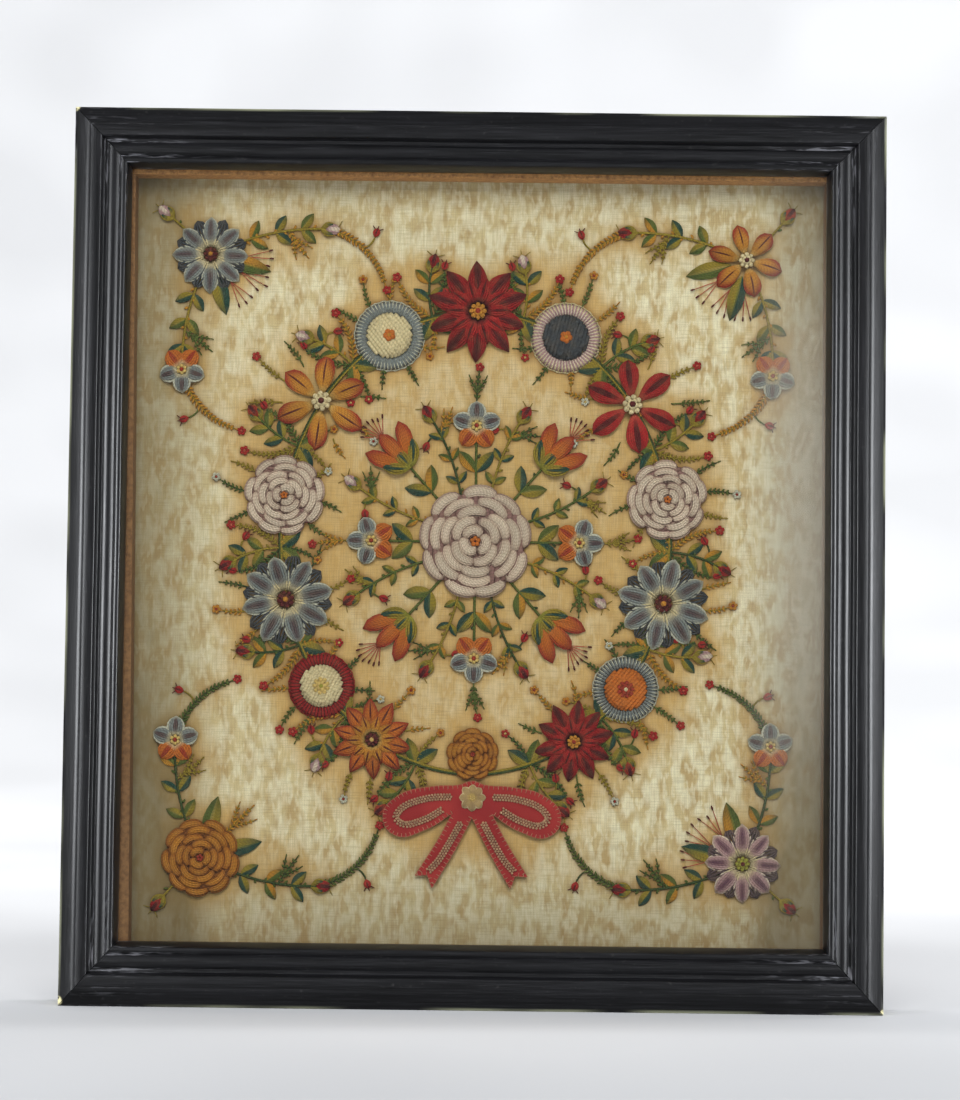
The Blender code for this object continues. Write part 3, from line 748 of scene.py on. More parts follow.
def petals(work, count, inner, outer, half_width, rows, outline, foot, crown, dye, start=0.0):
    """A ring of padded petals, each a little uneven in its way, size, tone and bow."""
    for number in range(count):
        ahead = way(start + 360 * number / count + work.chance.uniform(-3.2, 3.2))
        reach = outer * work.chance.uniform(0.945, 1.02)
        width = half_width * work.chance.uniform(0.93, 1.06)
        tone = work.chance.uniform(0.86, 1.10)
        bow = work.chance.uniform(-0.018, 0.018)
        work.pad(ahead * inner, ahead * reach, width, rows, outline, foot, crown, dye, bow, tone)


def heart(work, radius, out, ring, middle):
    """A flower's middle: a ring of knots round a few in another dye."""
    size = radius * 0.30
    work.knots(ring_of(8, radius * 0.76), size, out, ring)
    work.knots(ring_of(5, radius * 0.34, 20), size, out + size * 0.4, ring)
    work.knots([(0, 0)], size * 1.15, out + size * 0.9, middle)


def double_daisy(work, radius, wool):
    outer, inner, ring, middle = {
        "crimson": (
            flamed("wine", "crimson", "maroon", "wine"),
            flamed("wine", "bright_red", "crimson", "wine"),
            "gold",
            "brick",
        ),
        "orange": (ripened("orange"), ripened("gold"), "maroon", "straw"),
    }[wool]
    petals(work, 10, radius * 0.24, radius, radius * 0.170, 9, pointed, RAISED_FOOT * 0.3, 0.0046, outer)
    petals(work, 10, radius * 0.14, radius * 0.66, radius * 0.125, 7, pointed, 0.0026, 0.0042, inner, 18)
    heart(work, radius * 0.16, 0.0052, ring, middle)


def star(work, radius, wool):
    dye = ripened("gold") if wool == "orange" else flamed("rose_pink", "bright_red", "crimson", "wine", 0.30)
    petals(work, 6, radius * 0.12, radius, radius * 0.235, 11, blunt, RAISED_FOOT * 0.3, 0.0042, dye)
    heart(work, radius * 0.20, 0.0040, "cream", "maroon")


def daisy(work, radius, wool):
    dye, back, ring, middle = {
        "blue": (rimmed("cream", "blue", "pale_blue", "mouse"), "slate", "maroon", "gold"),
        "lilac": (rimmed("cream", "lilac", "pale_lilac", "plum"), "mouse", "lime", "maroon"),
    }[wool]
    back = layered(back)
    petals(work, 8, radius * 0.30, radius * 0.98, radius * 0.17, 5, rounded, 0.0004, 0.0022, back, 22.5)
    petals(work, 8, radius * 0.17, radius, radius * 0.205, 9, rounded, RAISED_FOOT * 0.3, 0.0040, dye)
    spokes = []
    for number in range(16):
        ahead = way(22.5 + 45 * (number // 2) + (5 if number % 2 else -5))
        spokes.append((ahead * radius * 0.20, ahead * radius * work.chance.uniform(0.44, 0.52)))
    work.stitches(spokes, radius * 0.020, "cream", out=0.0034)
    heart(work, radius * 0.18, 0.0034, ring, middle)


def rose(work, radius, wool):
    """Rings of short padded rolls, each bowed outwards, that rise towards the middle."""
    body, edge, shade, middle = {
        "lilac": ("shell", "pale_lilac", "mauve", "orange"),
        "mustard": ("amber", "gold", "umber", "brick"),
    }[wool]
    # The button under the rolls is painted shade, showing between them
    work.button(radius * 0.84, 0.0, 0.0006, shade, rows=17)
    half_width = radius * 0.098
    lanes = np.linspace(-1, 1, max(5, int(round(half_width * 2 / 0.00115))))[:, None]
    t = np.linspace(-1, 1, 9)
    for share, count, rise, start in (
        # share of the radius, rolls, rise, start
        (0.885, 9, 0.0010, 0),
        (0.715, 7, 0.0022, 27),
        (0.545, 6, 0.0034, 4),
        (0.375, 4, 0.0044, 40),
        (0.205, 3, 0.0052, 12),
    ):
        for number in range(count):
            middle_angle = radians(start + 360 * number / count + work.chance.uniform(-5, 5))
            size = work.chance.uniform(0.90, 1.06)
            swell = np.sqrt(np.clip(1 - np.abs(t) ** 3.2, 0.04, 1)) * size
            sweep = middle_angle + pi / count * 1.10 * t
            tuck = work.chance.uniform(-0.030, 0.030)
            reach = radius * (share - 0.052 * t**2 + tuck * t) + lanes * half_width * swell
            dome = np.sqrt(np.clip(1 - 0.92 * lanes**2, 0.02, 1)) * swell
            out = rise + 0.0004 + half_width * 1.05 * dome
            paths = np.stack((-np.sin(sweep) * reach, np.cos(sweep) * reach, out), axis=2)
            radii = np.clip(half_width * swell / (len(lanes) - 1) * 1.25, THINNEST, THICKEST)
            crest = dome[:, :, None]
            # Each roll is painted shade low on its flanks and painted highlight on its crest
            colour = blend(DYE[shade], body, soft(crest, 0.16, 0.38))
            colour = blend(colour, edge, soft(crest, 0.70, 1.0) * 0.8)
            work.tubes(paths, radii, colour * work.chance.uniform(0.88, 1.06), sides=5, uneven=0.06)
    work.knots(ring_of(5, radius * 0.055), radius * 0.042, 0.0066, middle)


def roundel(work, radius, wool):
    """A ruffled ring of long stitches round a padded disc full of knots."""
    spoke, other, rim, disc, knot, middle = {
        "blue": ("blue", "blue", "pale_blue", "cream", "orange", "gold"),
        "lilac": ("lilac", "pale_lilac", "cream", "slate", "orange", "gold"),
        "crimson": ("crimson", "maroon", "crimson", "cream", "straw", "lime"),
        "mustard": ("blue", "slate", "pale_blue", "orange", "brick", "cream"),
    }[wool]
    count = int(2 * pi * radius / 0.0030)
    for name, start, thickness, reach in (
        (spoke, 0, 0.00088, 0.96),
        (other, 120 / count, 0.00070, 0.94),
        (rim, 240 / count, 0.00050, 1.0),
    ):
        inner = ring_of(count, radius * 0.60, start)
        outer = ring_of(count, radius * reach, start + 90 / count)
        work.stitches(list(zip(inner, outer)), thickness, name, out=0.0002, arch=0.0028, sides=5, steps=5)
    ruffle = [way(2.5 * step) * radius * (0.985 + 0.02 * cos(step * pi / 3)) for step in range(145)]
    work.stem(np.array(ruffle), 0.00048, rim)
    work.button(radius * 0.62, 0.0010, 0.0026, disc, rows=13, degrees=work.chance.uniform(0, 90))
    scattered = [
        way(work.chance.uniform(0, 360)) * radius * 0.54 * work.chance.uniform(0, 1) ** 0.5
        for _ in range(46)
    ]
    work.knots(scattered, radius * 0.072, 0.0030, disc)
    if knot != "orange":
        work.knots(ring_of(9, radius * 0.20), radius * 0.07, 0.0044, knot)
    work.knots(ring_of(5, radius * 0.10) + [(0, 0)], radius * 0.085, 0.0046, knot)
    work.knots([(0, 0)], radius * 0.07, 0.0058, middle)


def blossom(work, radius, wool):
    """Five petals, the lower two in another dye."""
    upper = rimmed("cream", wool, "pale_blue", "mouse")
    lower = flamed("cream", "orange", "orange", "brick", 0.3)
    for number in range(5):
        ahead = way(72 * number) * radius
        dye = lower if number in (2, 3) else upper
        work.pad(ahead * 0.12, ahead, radius * 0.34, 8, rounded, 0.0010, 0.0024, dye, steps=7)
    work.knots(ring_of(6, radius * 0.15), radius * 0.085, 0.0028, "straw")
    work.knots([(0, 0)], radius * 0.09, 0.0036, "brick")


def bell(work, radius, wool):
    """Three petals out of a cup of three sepals, with stamens past them."""
    root = np.array((0, -0.40 * radius))
    work.stamens(way(0) * radius * 0.72, way(0), 7, 84, radius * 0.62)
    body = ripened(wool)
    for lean in (30, -30, 0):
        tip = root + way(lean) * radius * (1.36 if lean else 1.28)
        foot = 0.0006 if lean else 0.0018
        work.pad(root, tip, radius * 0.24, 8, blunt, foot, 0.0030, body, bow=-0.0016 * lean)
    cup = flamed("lime", "olive", "teal", "teal", 0.3)
    low = root - way(0) * radius * 0.08
    for lean in (46, -46, 0):
        tip = root + way(lean) * radius * (0.84 if lean else 0.66)
        work.pad(low, tip, radius * 0.14, 5, slim, 0.0022, 0.0024, cup, bow=-0.002 * lean)


FORMS = {form.__name__: form for form in (double_daisy, star, daisy, rose, roundel, blossom, bell)}


def make_flower(node, form, place, radius, degrees, wool, seed):
    """A stitched flower in the place of its padded solid."""
    work = Work(seed, *place, degrees)
    FORMS[form](work, radius, wool)
    work.finish(f"{node}_stitched", f"{wool}_wool", node)


# Sprays


def garland_point(degrees, side=1):
    """A place on the garland's stem, from its top, clockwise on side 1, and the way outwards there."""
    angle = radians(degrees)
    point = np.array((side * GARLAND_ACROSS * sin(angle), GARLAND_UP * cos(angle)))
    return point, unit(np.array((side * GARLAND_UP * sin(angle), GARLAND_ACROSS * cos(angle))))


def sprig(work, base, heading, length, bend, pairs, number, leaf_length=SPRIG_LEAF):
    """A bending side stem with pairs of leaves and a bud at its tip."""
    points = curve_from(base, heading, length, bend)
    work.leafy(points, *FERN_DYES[number % 4], 0.00085)
    leaf_pairs(work, points, pairs, number, leaf_length)
    work.bud(points, number)
    return points


def leaf_pairs(work, points, pairs, number, leaf_length=SPRIG_LEAF):
    """Pairs of leaves, evenly spaced along a stem."""
    for pair in range(pairs):
        joint, ahead = along_path(points, (pair + 1) / (pairs + 1))
        for lean in (48, -48):
            work.leaf(joint, turned(ahead, lean), leaf_length, leaf_dye(number + pair))


def tuft(work, base, heading, size, number):
    """A small branched fern: a middle stem and two side stems."""
    dyes = FERN_DYES[number % 4]
    middle = curve_from(base, heading, size, work.chance.uniform(-16, 16))
    work.fern(middle, *dyes, leaflet=0.0040)
    for lean in (38, -38):
        start, ahead = along_path(middle, 0.35)
        side = curve_from(start, turned(ahead, lean), size * 0.55, -lean * 0.4, 8)
        work.fern(side, *dyes, radius=0.0005, leaflet=0.0034)
    return along_path(middle, 1)


def hanger(work, stem, share, lean, length, bend, number):
    """A thin curved stalk from a place on a stem, with a small bell hanging from it."""
    joint, ahead = along_path(stem, share)
    stalk = curve_from(joint, turned(ahead, lean), length, bend, 10)
    work.stem(stalk, 0.0006, FERN_DYES[number % 4][0])
    work.drop(*along_path(stalk, 1), 0.0074)


def garland_space(work, degrees, side, number, last):
    """What grows from the garland's stem between two flowers: a sprig, leaves, and a fern on each side."""
    point, outward = garland_point(degrees, side)
    index = number + (side > 0)
    bend = GARLAND_SPRIG_BEND * side * (-1) ** number
    points = sprig(work, point, outward, GARLAND_SPRIG, bend, 2, index)
    for lean in (GARLAND_LEAF_LEAN, -GARLAND_LEAF_LEAN):
        work.leaf(point, turned(-outward, lean), GARLAND_LEAF, leaf_dye(index + (lean > 0)))
    for lean in (52, -52):
        which = index + (lean > 0)
        frond = curve_from(point, turned(outward, lean), 0.038, -lean * 0.9)
        tip, ahead = work.fern(frond, *FERN_DYES[which % 4])
        if which % 2:
            work.starlet(tip + ahead * 0.0052, 0.0036, "bright_red", "rose_pink")
        else:
            work.drop(tip + ahead * 0.0010, turned(ahead, 25 * side), 0.0072)
    hanger(work, points, 0.72, 70 * side, 0.013, 80 * side, index)
    for lean in (0,) if last else (0, 66, -66):
        which = index + 1 + (lean > 0)
        frond = curve_from(point, turned(-outward, lean), 0.026, (34 if lean >= 0 else -34) * side)
        tip, ahead = work.fern(frond, *FERN_DYES[which % 4], leaflet=0.0038)
        work.starlet(tip + ahead * 0.0046, 0.0032, *INNER_STARLETS[which % 3])


def garland_fronds(work, degrees, radius, side, number):
    """Short fronds that stand out from under a flower of the garland, outside it and inside it."""
    point, outward = garland_point(degrees, side)
    for sense, leans, shortest, longest in (
        (1, (-30, 4, 34), 0.020, 0.027),
        (-1, (-40, 0, 40), 0.015, 0.020),
    ):
        for lean in leans:
            which = number + (lean > 0) + (sense > 0)
            ahead = turned(outward * sense, lean)
            start = point + ahead * radius * 0.80
            reach = work.chance.uniform(shortest, longest)
            frond = curve_from(start, ahead, reach, work.chance.uniform(-30, 30), 8)
            tip, ahead = work.fern(frond, *FERN_DYES[which % 4], radius=0.00055, leaflet=0.0042, start=0.3)
            if lean == 4 or (lean == 0 and number % 2):
                work.starlet(tip + ahead * 0.0050, 0.0034, *FROND_STARLETS[which % 3])


def make_garland():
    work = Work(11)
    ring = np.array([garland_point(360 * step / 96)[0] for step in range(97)])
    for offset, name in ((-0.0006, "olive"), (0.0006, "deep_green")):
        work.stem(ring * (1 + offset / GARLAND_ACROSS), 0.00095, name)
    stops = [0] + [row[0] for row in GARLAND_FLOWERS]
    spaces = [(start + end) / 2 for start, end in zip(stops, stops[1:])] + [GARLAND_LAST_SPACE]
    for side in (-1, 1):
        for number, degrees in enumerate(spaces):
            garland_space(work, degrees, side, number, last=degrees == GARLAND_LAST_SPACE)
    for side in (-1, 1):
        for number, (degrees, radius, *_) in enumerate(GARLAND_FLOWERS):
            garland_fronds(work, degrees, radius, side, number)
    work.finish("wool_garland_stitched", "green_wool", "wool_garland")


def centre_way(degrees):
    """The way at these degrees, anticlockwise from straight up, drawn out in height."""
    return way(degrees) * (1, CENTRE_STRETCH)


def make_centre_spray():
    """Eight stalks for blossoms and bells in turn, with a vine between each two."""
    work = Work(12)
    for number in range(8):
        ahead = centre_way(45 * number)
        reach = BELL_REACH - BELL_RADIUS * 0.35 if number % 2 else BLOSSOM_REACH
        root = unit(ahead) * (CENTRE_RING - STEM_SEAT)
        stalk = np.array([root, (root + ahead * reach) / 2, ahead * reach])
        work.leafy(stalk, "green", "deep_green", start=0.5, end=0.85)
        for lean in (CENTRE_LEAF_LEAN, -CENTRE_LEAF_LEAN):
            joint = ahead * CENTRE_LEAF_PLACE
            work.leaf(joint, turned(ahead, lean), CENTRE_LEAF, leaf_dye(number + (lean > 0)), share=0.20)
        between = centre_way(45 * number + 22.5)
        base = unit(between) * (CENTRE_RING - STEM_SEAT)
        bend = CENTRE_VINE_BEND * (-1) ** number
        vine = sprig(work, base, turned(between, -bend / 2), CENTRE_VINE, bend, 3, number, VINE_LEAF)
        hanger(work, vine, 0.80, 62, 0.012, 70, number)
        joint, heading = along_path(vine, 0.80)
        tuft(work, joint, turned(heading, -58), 0.020, number + 1)
        if number % 2 == 0:
            beyond = ahead * BLOSSOM_REACH + unit(ahead) * BLOSSOM_RADIUS
            tip, heading = tuft(work, beyond, ahead, 0.022, number // 2)
            work.starlet(tip + heading * 0.0046, 0.0034, "bright_red", "rose_pink")
    work.finish("wool_centre_spray_stitched", "green_wool", "wool_centre_spray")


def corner_arm(outward, side):
    """The points of a corner spray's long arm on one side, from the middle of its flower."""
    lean = CORNER_ARM_LEAN * side
    ahead = turned(outward, lean)
    base = ahead * (CORNER_FLOWER_RADIUS * 0.5 - STEM_SEAT)
    return curve_from(base, ahead, CORNER_ARM, lean * CORNER_BEND_SHARE)


def make_corner_spray(number, place, outward, wool, blossom_side):
    """A corner flower's leaves and stamens, and two arms that run beside the frame and curl inwards."""
    work = Work(20 + number, *place)
    root = CORNER_FLOWER_RADIUS * 0.5
    stem = curve_from(outward * root, outward, 0.030, 6)
    work.leafy(stem, "olive", "green", 0.0008, start=0.5)
    work.bud(stem, number)
    dyes = ("deep_green", "green") if number > 2 else ("olive", "mustard")
    for side in (-1, 1):
        index = number + (side > 0)
        arm = corner_arm(outward, side)
        work.leafy(arm, *dyes, start=0.15)
        leaf_pairs(work, arm, 3, index)
        tip, ahead = along_path(arm, 1)
        if side != blossom_side:
            work.bud(arm, index)
        tail = curve_from(tip, turned(ahead, 10 * side), 0.064, 62 * side, 16)
        end, ahead = work.fern(tail, *dyes, radius=0.00065, pitch=0.0033, leaflet=0.0052, start=0.02)
        work.starlet(end + ahead * 0.006, 0.0034, "bright_red", "rose_pink")
        hanger(work, tail, 0.5, -55 * side, 0.013, -60 * side, index)
        joint, ahead = along_path(arm, 0.62)
        tuft(work, joint, turned(ahead, 64 * side), 0.024, index)
        slant = turned(outward, CORNER_LEAF_LEAN * side)
        work.leaf(slant * (root - 0.003), slant, CORNER_LEAF, leaf_dye(index), share=0.16, rows=10)
    if wool == "mustard":
        tuft(work, -outward * CORNER_FLOWER_RADIUS * 0.8, -outward, 0.030, 1)
    else:
        for lean in (172, 196, 222):
            ahead = turned(outward, lean)
            work.stamens(ahead * CORNER_FLOWER_RADIUS * 0.85, ahead, 3, 34, 0.021)
    node = f"wool_corner_spray_{number}"
    work.finish(f"{node}_stitched", "green_wool", node)


# Bow


def bow_mesh(name, resolution, thickness=0.0):
    """The bow's surface as a welded mesh: flat, or of a thickness and with softly rounded edges."""
    curve = bpy.data.curves.new("bow", "CURVE")
    curve.dimensions = "2D"
    curve.fill_mode = "BOTH"
    curve.resolution_u = resolution
    if thickness:
        curve.extrude = thickness / 2 - FELT_ROUNDING
        curve.bevel_depth = FELT_ROUNDING
        curve.bevel_resolution = 2
        curve.offset = -FELT_ROUNDING
    left = [(-across, up, is_rounded) for across, up, is_rounded in BOW_HALF[-2:0:-1]]
    rows = [*BOW_HALF, *left]
    spline = curve.splines.new("BEZIER")
    spline.bezier_points.add(len(rows) - 1)
    for point, (across, up, is_rounded) in zip(spline.bezier_points, rows):
        point.co = (across, up, 0)
        point.handle_left_type = point.handle_right_type = "AUTO" if is_rounded else "VECTOR"
    spline.use_cyclic_u = True
    holder = added("outline", curve)
    graph = bpy.context.evaluated_depsgraph_get()
    mesh = bpy.data.meshes.new_from_object(holder.evaluated_get(graph))
    bpy.data.objects.remove(holder)
    mesh.name = name
    obj = added(name, mesh)
    obj.modifiers.new("weld", "WELD").merge_threshold = 0.00001
    return obj


def make_felt():
    felt = bow_mesh("felt_bow_stitched", 14, BOW_THICKNESS)
    stand = Matrix.Translation((DESIGN_X, CLOTH_Y - RAISED_FOOT - BOW_THICKNESS / 2, DESIGN_Z + BOW_UP))
    felt.data.transform(stand @ Matrix.Rotation(radians(90), 4, "X"))
    dress(felt, "felt", "red_felt", "felt_bow")


def bow_edge():
    """The bow's outline as a closed path, anticlockwise."""
    outline = bow_mesh("outline_of_bow", 10)
    places = [vertex.co[:2] for vertex in outline.data.vertices]
    edges = Counter(edge for polygon in outline.data.polygons for edge in polygon.edge_keys)
    bpy.data.objects.remove(outline)
    neighbours = {}
    for (first, second), count in edges.items():
        if count == 1:
            neighbours.setdefault(first, []).append(second)
            neighbours.setdefault(second, []).append(first)
    path = [max(neighbours, key=lambda index: places[index][1])]
    ahead = neighbours[path[0]][0]
    while ahead != path[0]:
        path.append(ahead)
        ahead = next(index for index in neighbours[ahead] if index != path[-2])
    points = np.array([places[index] for index in path])
    following = np.roll(points, -1, axis=0)
    area = (points[:, 0] * following[:, 1] - following[:, 0] * points[:, 1]).sum()
    if area < 0:
        points = points[::-1]
    return np.vstack((points, points[:1]))


def make_beading():
    """Rows of small beads on the bow, a stitched flower on its knot, and the sewing along its edge."""
    work = Work(31, DESIGN_X, DESIGN_Z + BOW_UP)
    face = RAISED_FOOT + BOW_THICKNESS
    centres = []
    for line in BOW_LINES:
        path = smooth_path(line)
        count = int(reached_along(path)[-1] / (BEAD_RADIUS * 2.2))
        for number in range(count):
            place, ahead = along_path(path, (number + 0.5) / count)
            for lane in (-1, 0, 1):
                spot = place + (right_of(ahead) * lane * 1.8 + ahead * abs(lane)) * BEAD_RADIUS
                centres += [spot, spot * (-1, 1)]
    work.knots(centres, BEAD_RADIUS, face, "thread", uneven=0.16)
    dye = rimmed("straw", "beige", "cream", "beige")
    petals(work, 8, 0.0012, 0.0104, 0.0031, 7, rounded, face, 0.0010, dye)
    work.knots(ring_of(6, 0.0016) + [(0, 0)], 0.0010, face + 0.0010, "straw")
    edge = bow_edge()
    count = int(reached_along(edge)[-1] / SEWING_PITCH)
    ends = []
    for number in range(count):
        place, ahead = along_path(edge, number / count)
        outward = right_of(ahead)
        ends.append((place + outward * 0.0006, place - outward * 0.0026))
    work.stitches(ends, 0.00026, "thread", out=face, arch=0.0002)
    work.stem(edge, 0.00032, "rose_pink", out=face - 0.0004)
    work.finish("bow_beading", "red_felt", material="beads")


# Frame


def moulding_section(rail_width):
    """The section as rows of (across, depth, wear), its arrises softened and marked as worn."""
    rows = []
    for across, depth, bulge, steps in MOULDING:
        end = np.array((across * rail_width / NOMINAL_RAIL, depth))
        start = rows[-1][0] if rows else end
        along = end - start
        front = unit(right_of(along)) if rows else along
        for step in range(1, steps + 1):
            share = step / steps
            bulged = start + along * share + front * bulge * 4 * share * (1 - share)
            rows.append((bulged, step == steps))
    for across, depth in (
        (rail_width, LIP_BACK),
        (rail_width - REBATE, LIP_BACK),
        (rail_width - REBATE, OUTER_DEPTH),
        (0, OUTER_DEPTH),
    ):
        rows.append((np.array((across, depth)), True))
    softened = []
    for index, (place, corner) in enumerate(rows):
        if not corner:
            softened.append((*place, 0.0))
            continue
        hops = [rows[index - 1][0] - place, rows[(index + 1) % len(rows)][0] - place]
        before, after = [np.linalg.norm(hop) for hop in hops]
        ridge = 1.0 if abs(hops[0] @ hops[1]) / before / after < 0.97 else 0.3
        first, last = [place + hop * min(ARRIS / np.linalg.norm(hop), 0.35) for hop in hops]
        if before > LONG_FACE:
            softened.append((*(place + hops[0] * WORN_WIDTH / before), 0.0))
        for point in (first, place / 2 + (first + last) / 4, last):
            softened.append((*point, ridge))
        if after > LONG_FACE:
            softened.append((*(place + hops[1] * WORN_WIDTH / after), 0.0))
    return np.array(softened)


def rail_ends(side):
    """The rail's two ends as (outer corner, sight corner), so that its outer edge is on the left."""
    corners = (
        # outer corner, sight corner
        ((-OUTER_WIDTH / 2, 0), (SIGHT_LEFT, SIGHT_BOTTOM)),
        ((-OUTER_WIDTH / 2, OUTER_HEIGHT), (SIGHT_LEFT, SIGHT_TOP)),
        ((OUTER_WIDTH / 2, OUTER_HEIGHT), (SIGHT_RIGHT, SIGHT_TOP)),
        ((OUTER_WIDTH / 2, 0), (SIGHT_RIGHT, SIGHT_BOTTOM)),
    )
    first = ("left", "top", "right", "bottom").index(side)
    return np.array(corners[first]), np.array(corners[(first + 1) % 4])


def make_rail(side, seed):
    """One rail: its section is drawn from mitre to mitre, a little uneven along its length."""
    section = moulding_section(RAIL_WIDTH[side])
    across, depth, wear = section.T
    ring = len(section)
    start, end = rail_ends(side)
    ahead = unit(end[0] - start[0])
    share = across[:, None] / RAIL_WIDTH[side]
    first = start[0] + (start[1] - start[0]) * share + ahead * MITRE_GAP
    last = end[0] + (end[1] - end[0]) * share - ahead * MITRE_GAP
    waves = np.random.default_rng(seed).uniform(0, 2 * pi, 4)
    along = np.arange(RAIL_STEPS + 1)[:, None] / RAIL_STEPS
    calm = np.sin(pi * along)
    sway = calm * RAIL_SWAY * (np.sin(9 * along + waves[0]) + np.sin(23 * along + waves[1]))
    heave = calm * RAIL_HEAVE * (np.sin(7 * along + waves[2]) + np.sin(31 * along + waves[3]))
    # The outer side, the lip's back and the rebate stay straight
    moulded = np.clip((LIP_BACK - depth) / STRAIGHT_BACK, 0, 1) * np.clip(across / STRAIGHT_SIDE, 0, 1)
    flat = first * (1 - along[..., None]) + last * along[..., None]
    flat = flat + right_of(ahead) * (sway * moulded)[..., None]
    points = np.stack((flat[..., 0], FRONT_Y + depth + heave * moulded, flat[..., 1]), axis=-1)
    end_faces = [list(range(ring)), list(range((RAIL_STEPS + 1) * ring - 1, RAIL_STEPS * ring - 1, -1))]
    faces = wrapped_faces(RAIL_STEPS, ring).tolist() + end_faces
    rail = mesh_object(f"moulding_{side}", points.reshape(-1, 3), faces, smooth_angle=48)
    length = np.hypot(*(last[0] - first[0])) * along
    grain = np.broadcast_arrays(length, reached_along(section[:, :2]), seed)
    to_mitre = np.minimum(length, length[-1] - length)
    corner = np.maximum(0, 1 - to_mitre / SCRAPE_REACH)
    rim = (across < RIM_WIDTH) * (depth < RIM_DEPTH)
    point_attribute(rail, "grain", "FLOAT_VECTOR", np.stack(grain, axis=-1))
    point_attribute(rail, "corner", "FLOAT", np.repeat(corner, ring))
    for name, values in (("wear", wear), ("rim", rim)):
        point_attribute(rail, name, "FLOAT", np.tile(values, RAIL_STEPS + 1))
    dress(rail, "ebonised", "ebonised_wood", f"rail_{side}")


# Silk


def stitched_share(xs, zs, spread):
    """How much of the cloth round each place of a grid is stitched over, weighed by a bell curve whose
    spread is in cells."""
    columns = np.arange(CLOTH_LOW.x, CLOTH_HIGH.x + CELL, CELL)
    rows = np.arange(CLOTH_LOW.z, CLOTH_HIGH.z + CELL, CELL)
    across, up = np.concatenate(STITCHED).T
    near = (np.histogram2d(up, across, bins=(rows, columns))[0] > 0).astype(float)
    weights = np.exp(-0.5 * (np.arange(-3 * spread, 3 * spread + 1) / spread) ** 2)
    weights /= weights.sum()
    for axis in (0, 1):
        near = np.apply_along_axis(np.convolve, axis, near, weights, mode="same")
    row = np.clip(((zs - rows[0]) / CELL).astype(int), 0, near.shape[0] - 1)
    column = np.clip(((xs - columns[0]) / CELL).astype(int), 0, near.shape[1] - 1)
    return near[np.ix_(row, column)].ravel()


def make_silk():
    """The stretched silk: a thin closed sheet, faintly puckered, that knows where it is stitched."""
    xs = np.linspace(CLOTH_LOW.x, CLOTH_HIGH.x, SILK_GRID[0])
    zs = np.linspace(CLOTH_LOW.z, CLOTH_HIGH.z, SILK_GRID[1])
    across, up = np.meshgrid(xs, zs)
    chance = np.random.default_rng(5)
    pucker = np.zeros(across.shape)
    for _ in range(SILK_WAVES):
        heading = chance.uniform(0, pi)
        length = chance.uniform(0.018, 0.060)
        phase = chance.uniform(0, 2 * pi)
        pucker += np.sin((across * cos(heading) + up * sin(heading)) * 2 * pi / length + phase)
    depth = CLOTH_Y + SILK_SINK - np.minimum((pucker / SILK_WAVES - 0.45) * SILK_PUCKER, 0)
    index = np.arange(across.size).reshape(across.shape)
    corners = (index[:-1, :-1], index[:-1, 1:], index[1:, 1:], index[1:, :-1])
    front = np.stack(corners, axis=-1).reshape(-1, 4)
    rim = np.concatenate((index[0, :-1], index[:-1, -1], index[-1, :0:-1], index[:0:-1, 0]))
    behind = across.size + np.arange(len(rim))
    turned_in = np.stack((rim, behind, np.roll(behind, -1), np.roll(rim, -1)), axis=-1)
    points = np.stack((across, depth, up), axis=2).reshape(-1, 3)
    back_points = points[rim]
    back_points[:, 1] = depth.max() + SILK_THICKNESS
    faces = front.tolist() + turned_in.tolist() + [behind[::-1].tolist()]
    silk = mesh_object("silk_sheet", np.vstack((points, back_points)), faces, smooth_angle=60)
    for name, spread in SILK_SPREADS.items():
        share = stitched_share(xs, zs, spread)
        point_attribute(silk, name, "FLOAT", np.concatenate((share, share[rim])))
    dress(silk, "silk", "silk", "silk_ground")


# Materials


def paint(red, green, blue):
    """A socket's colour from sRGB values out of 255."""
    return (*linear(red, green, blue), 1)


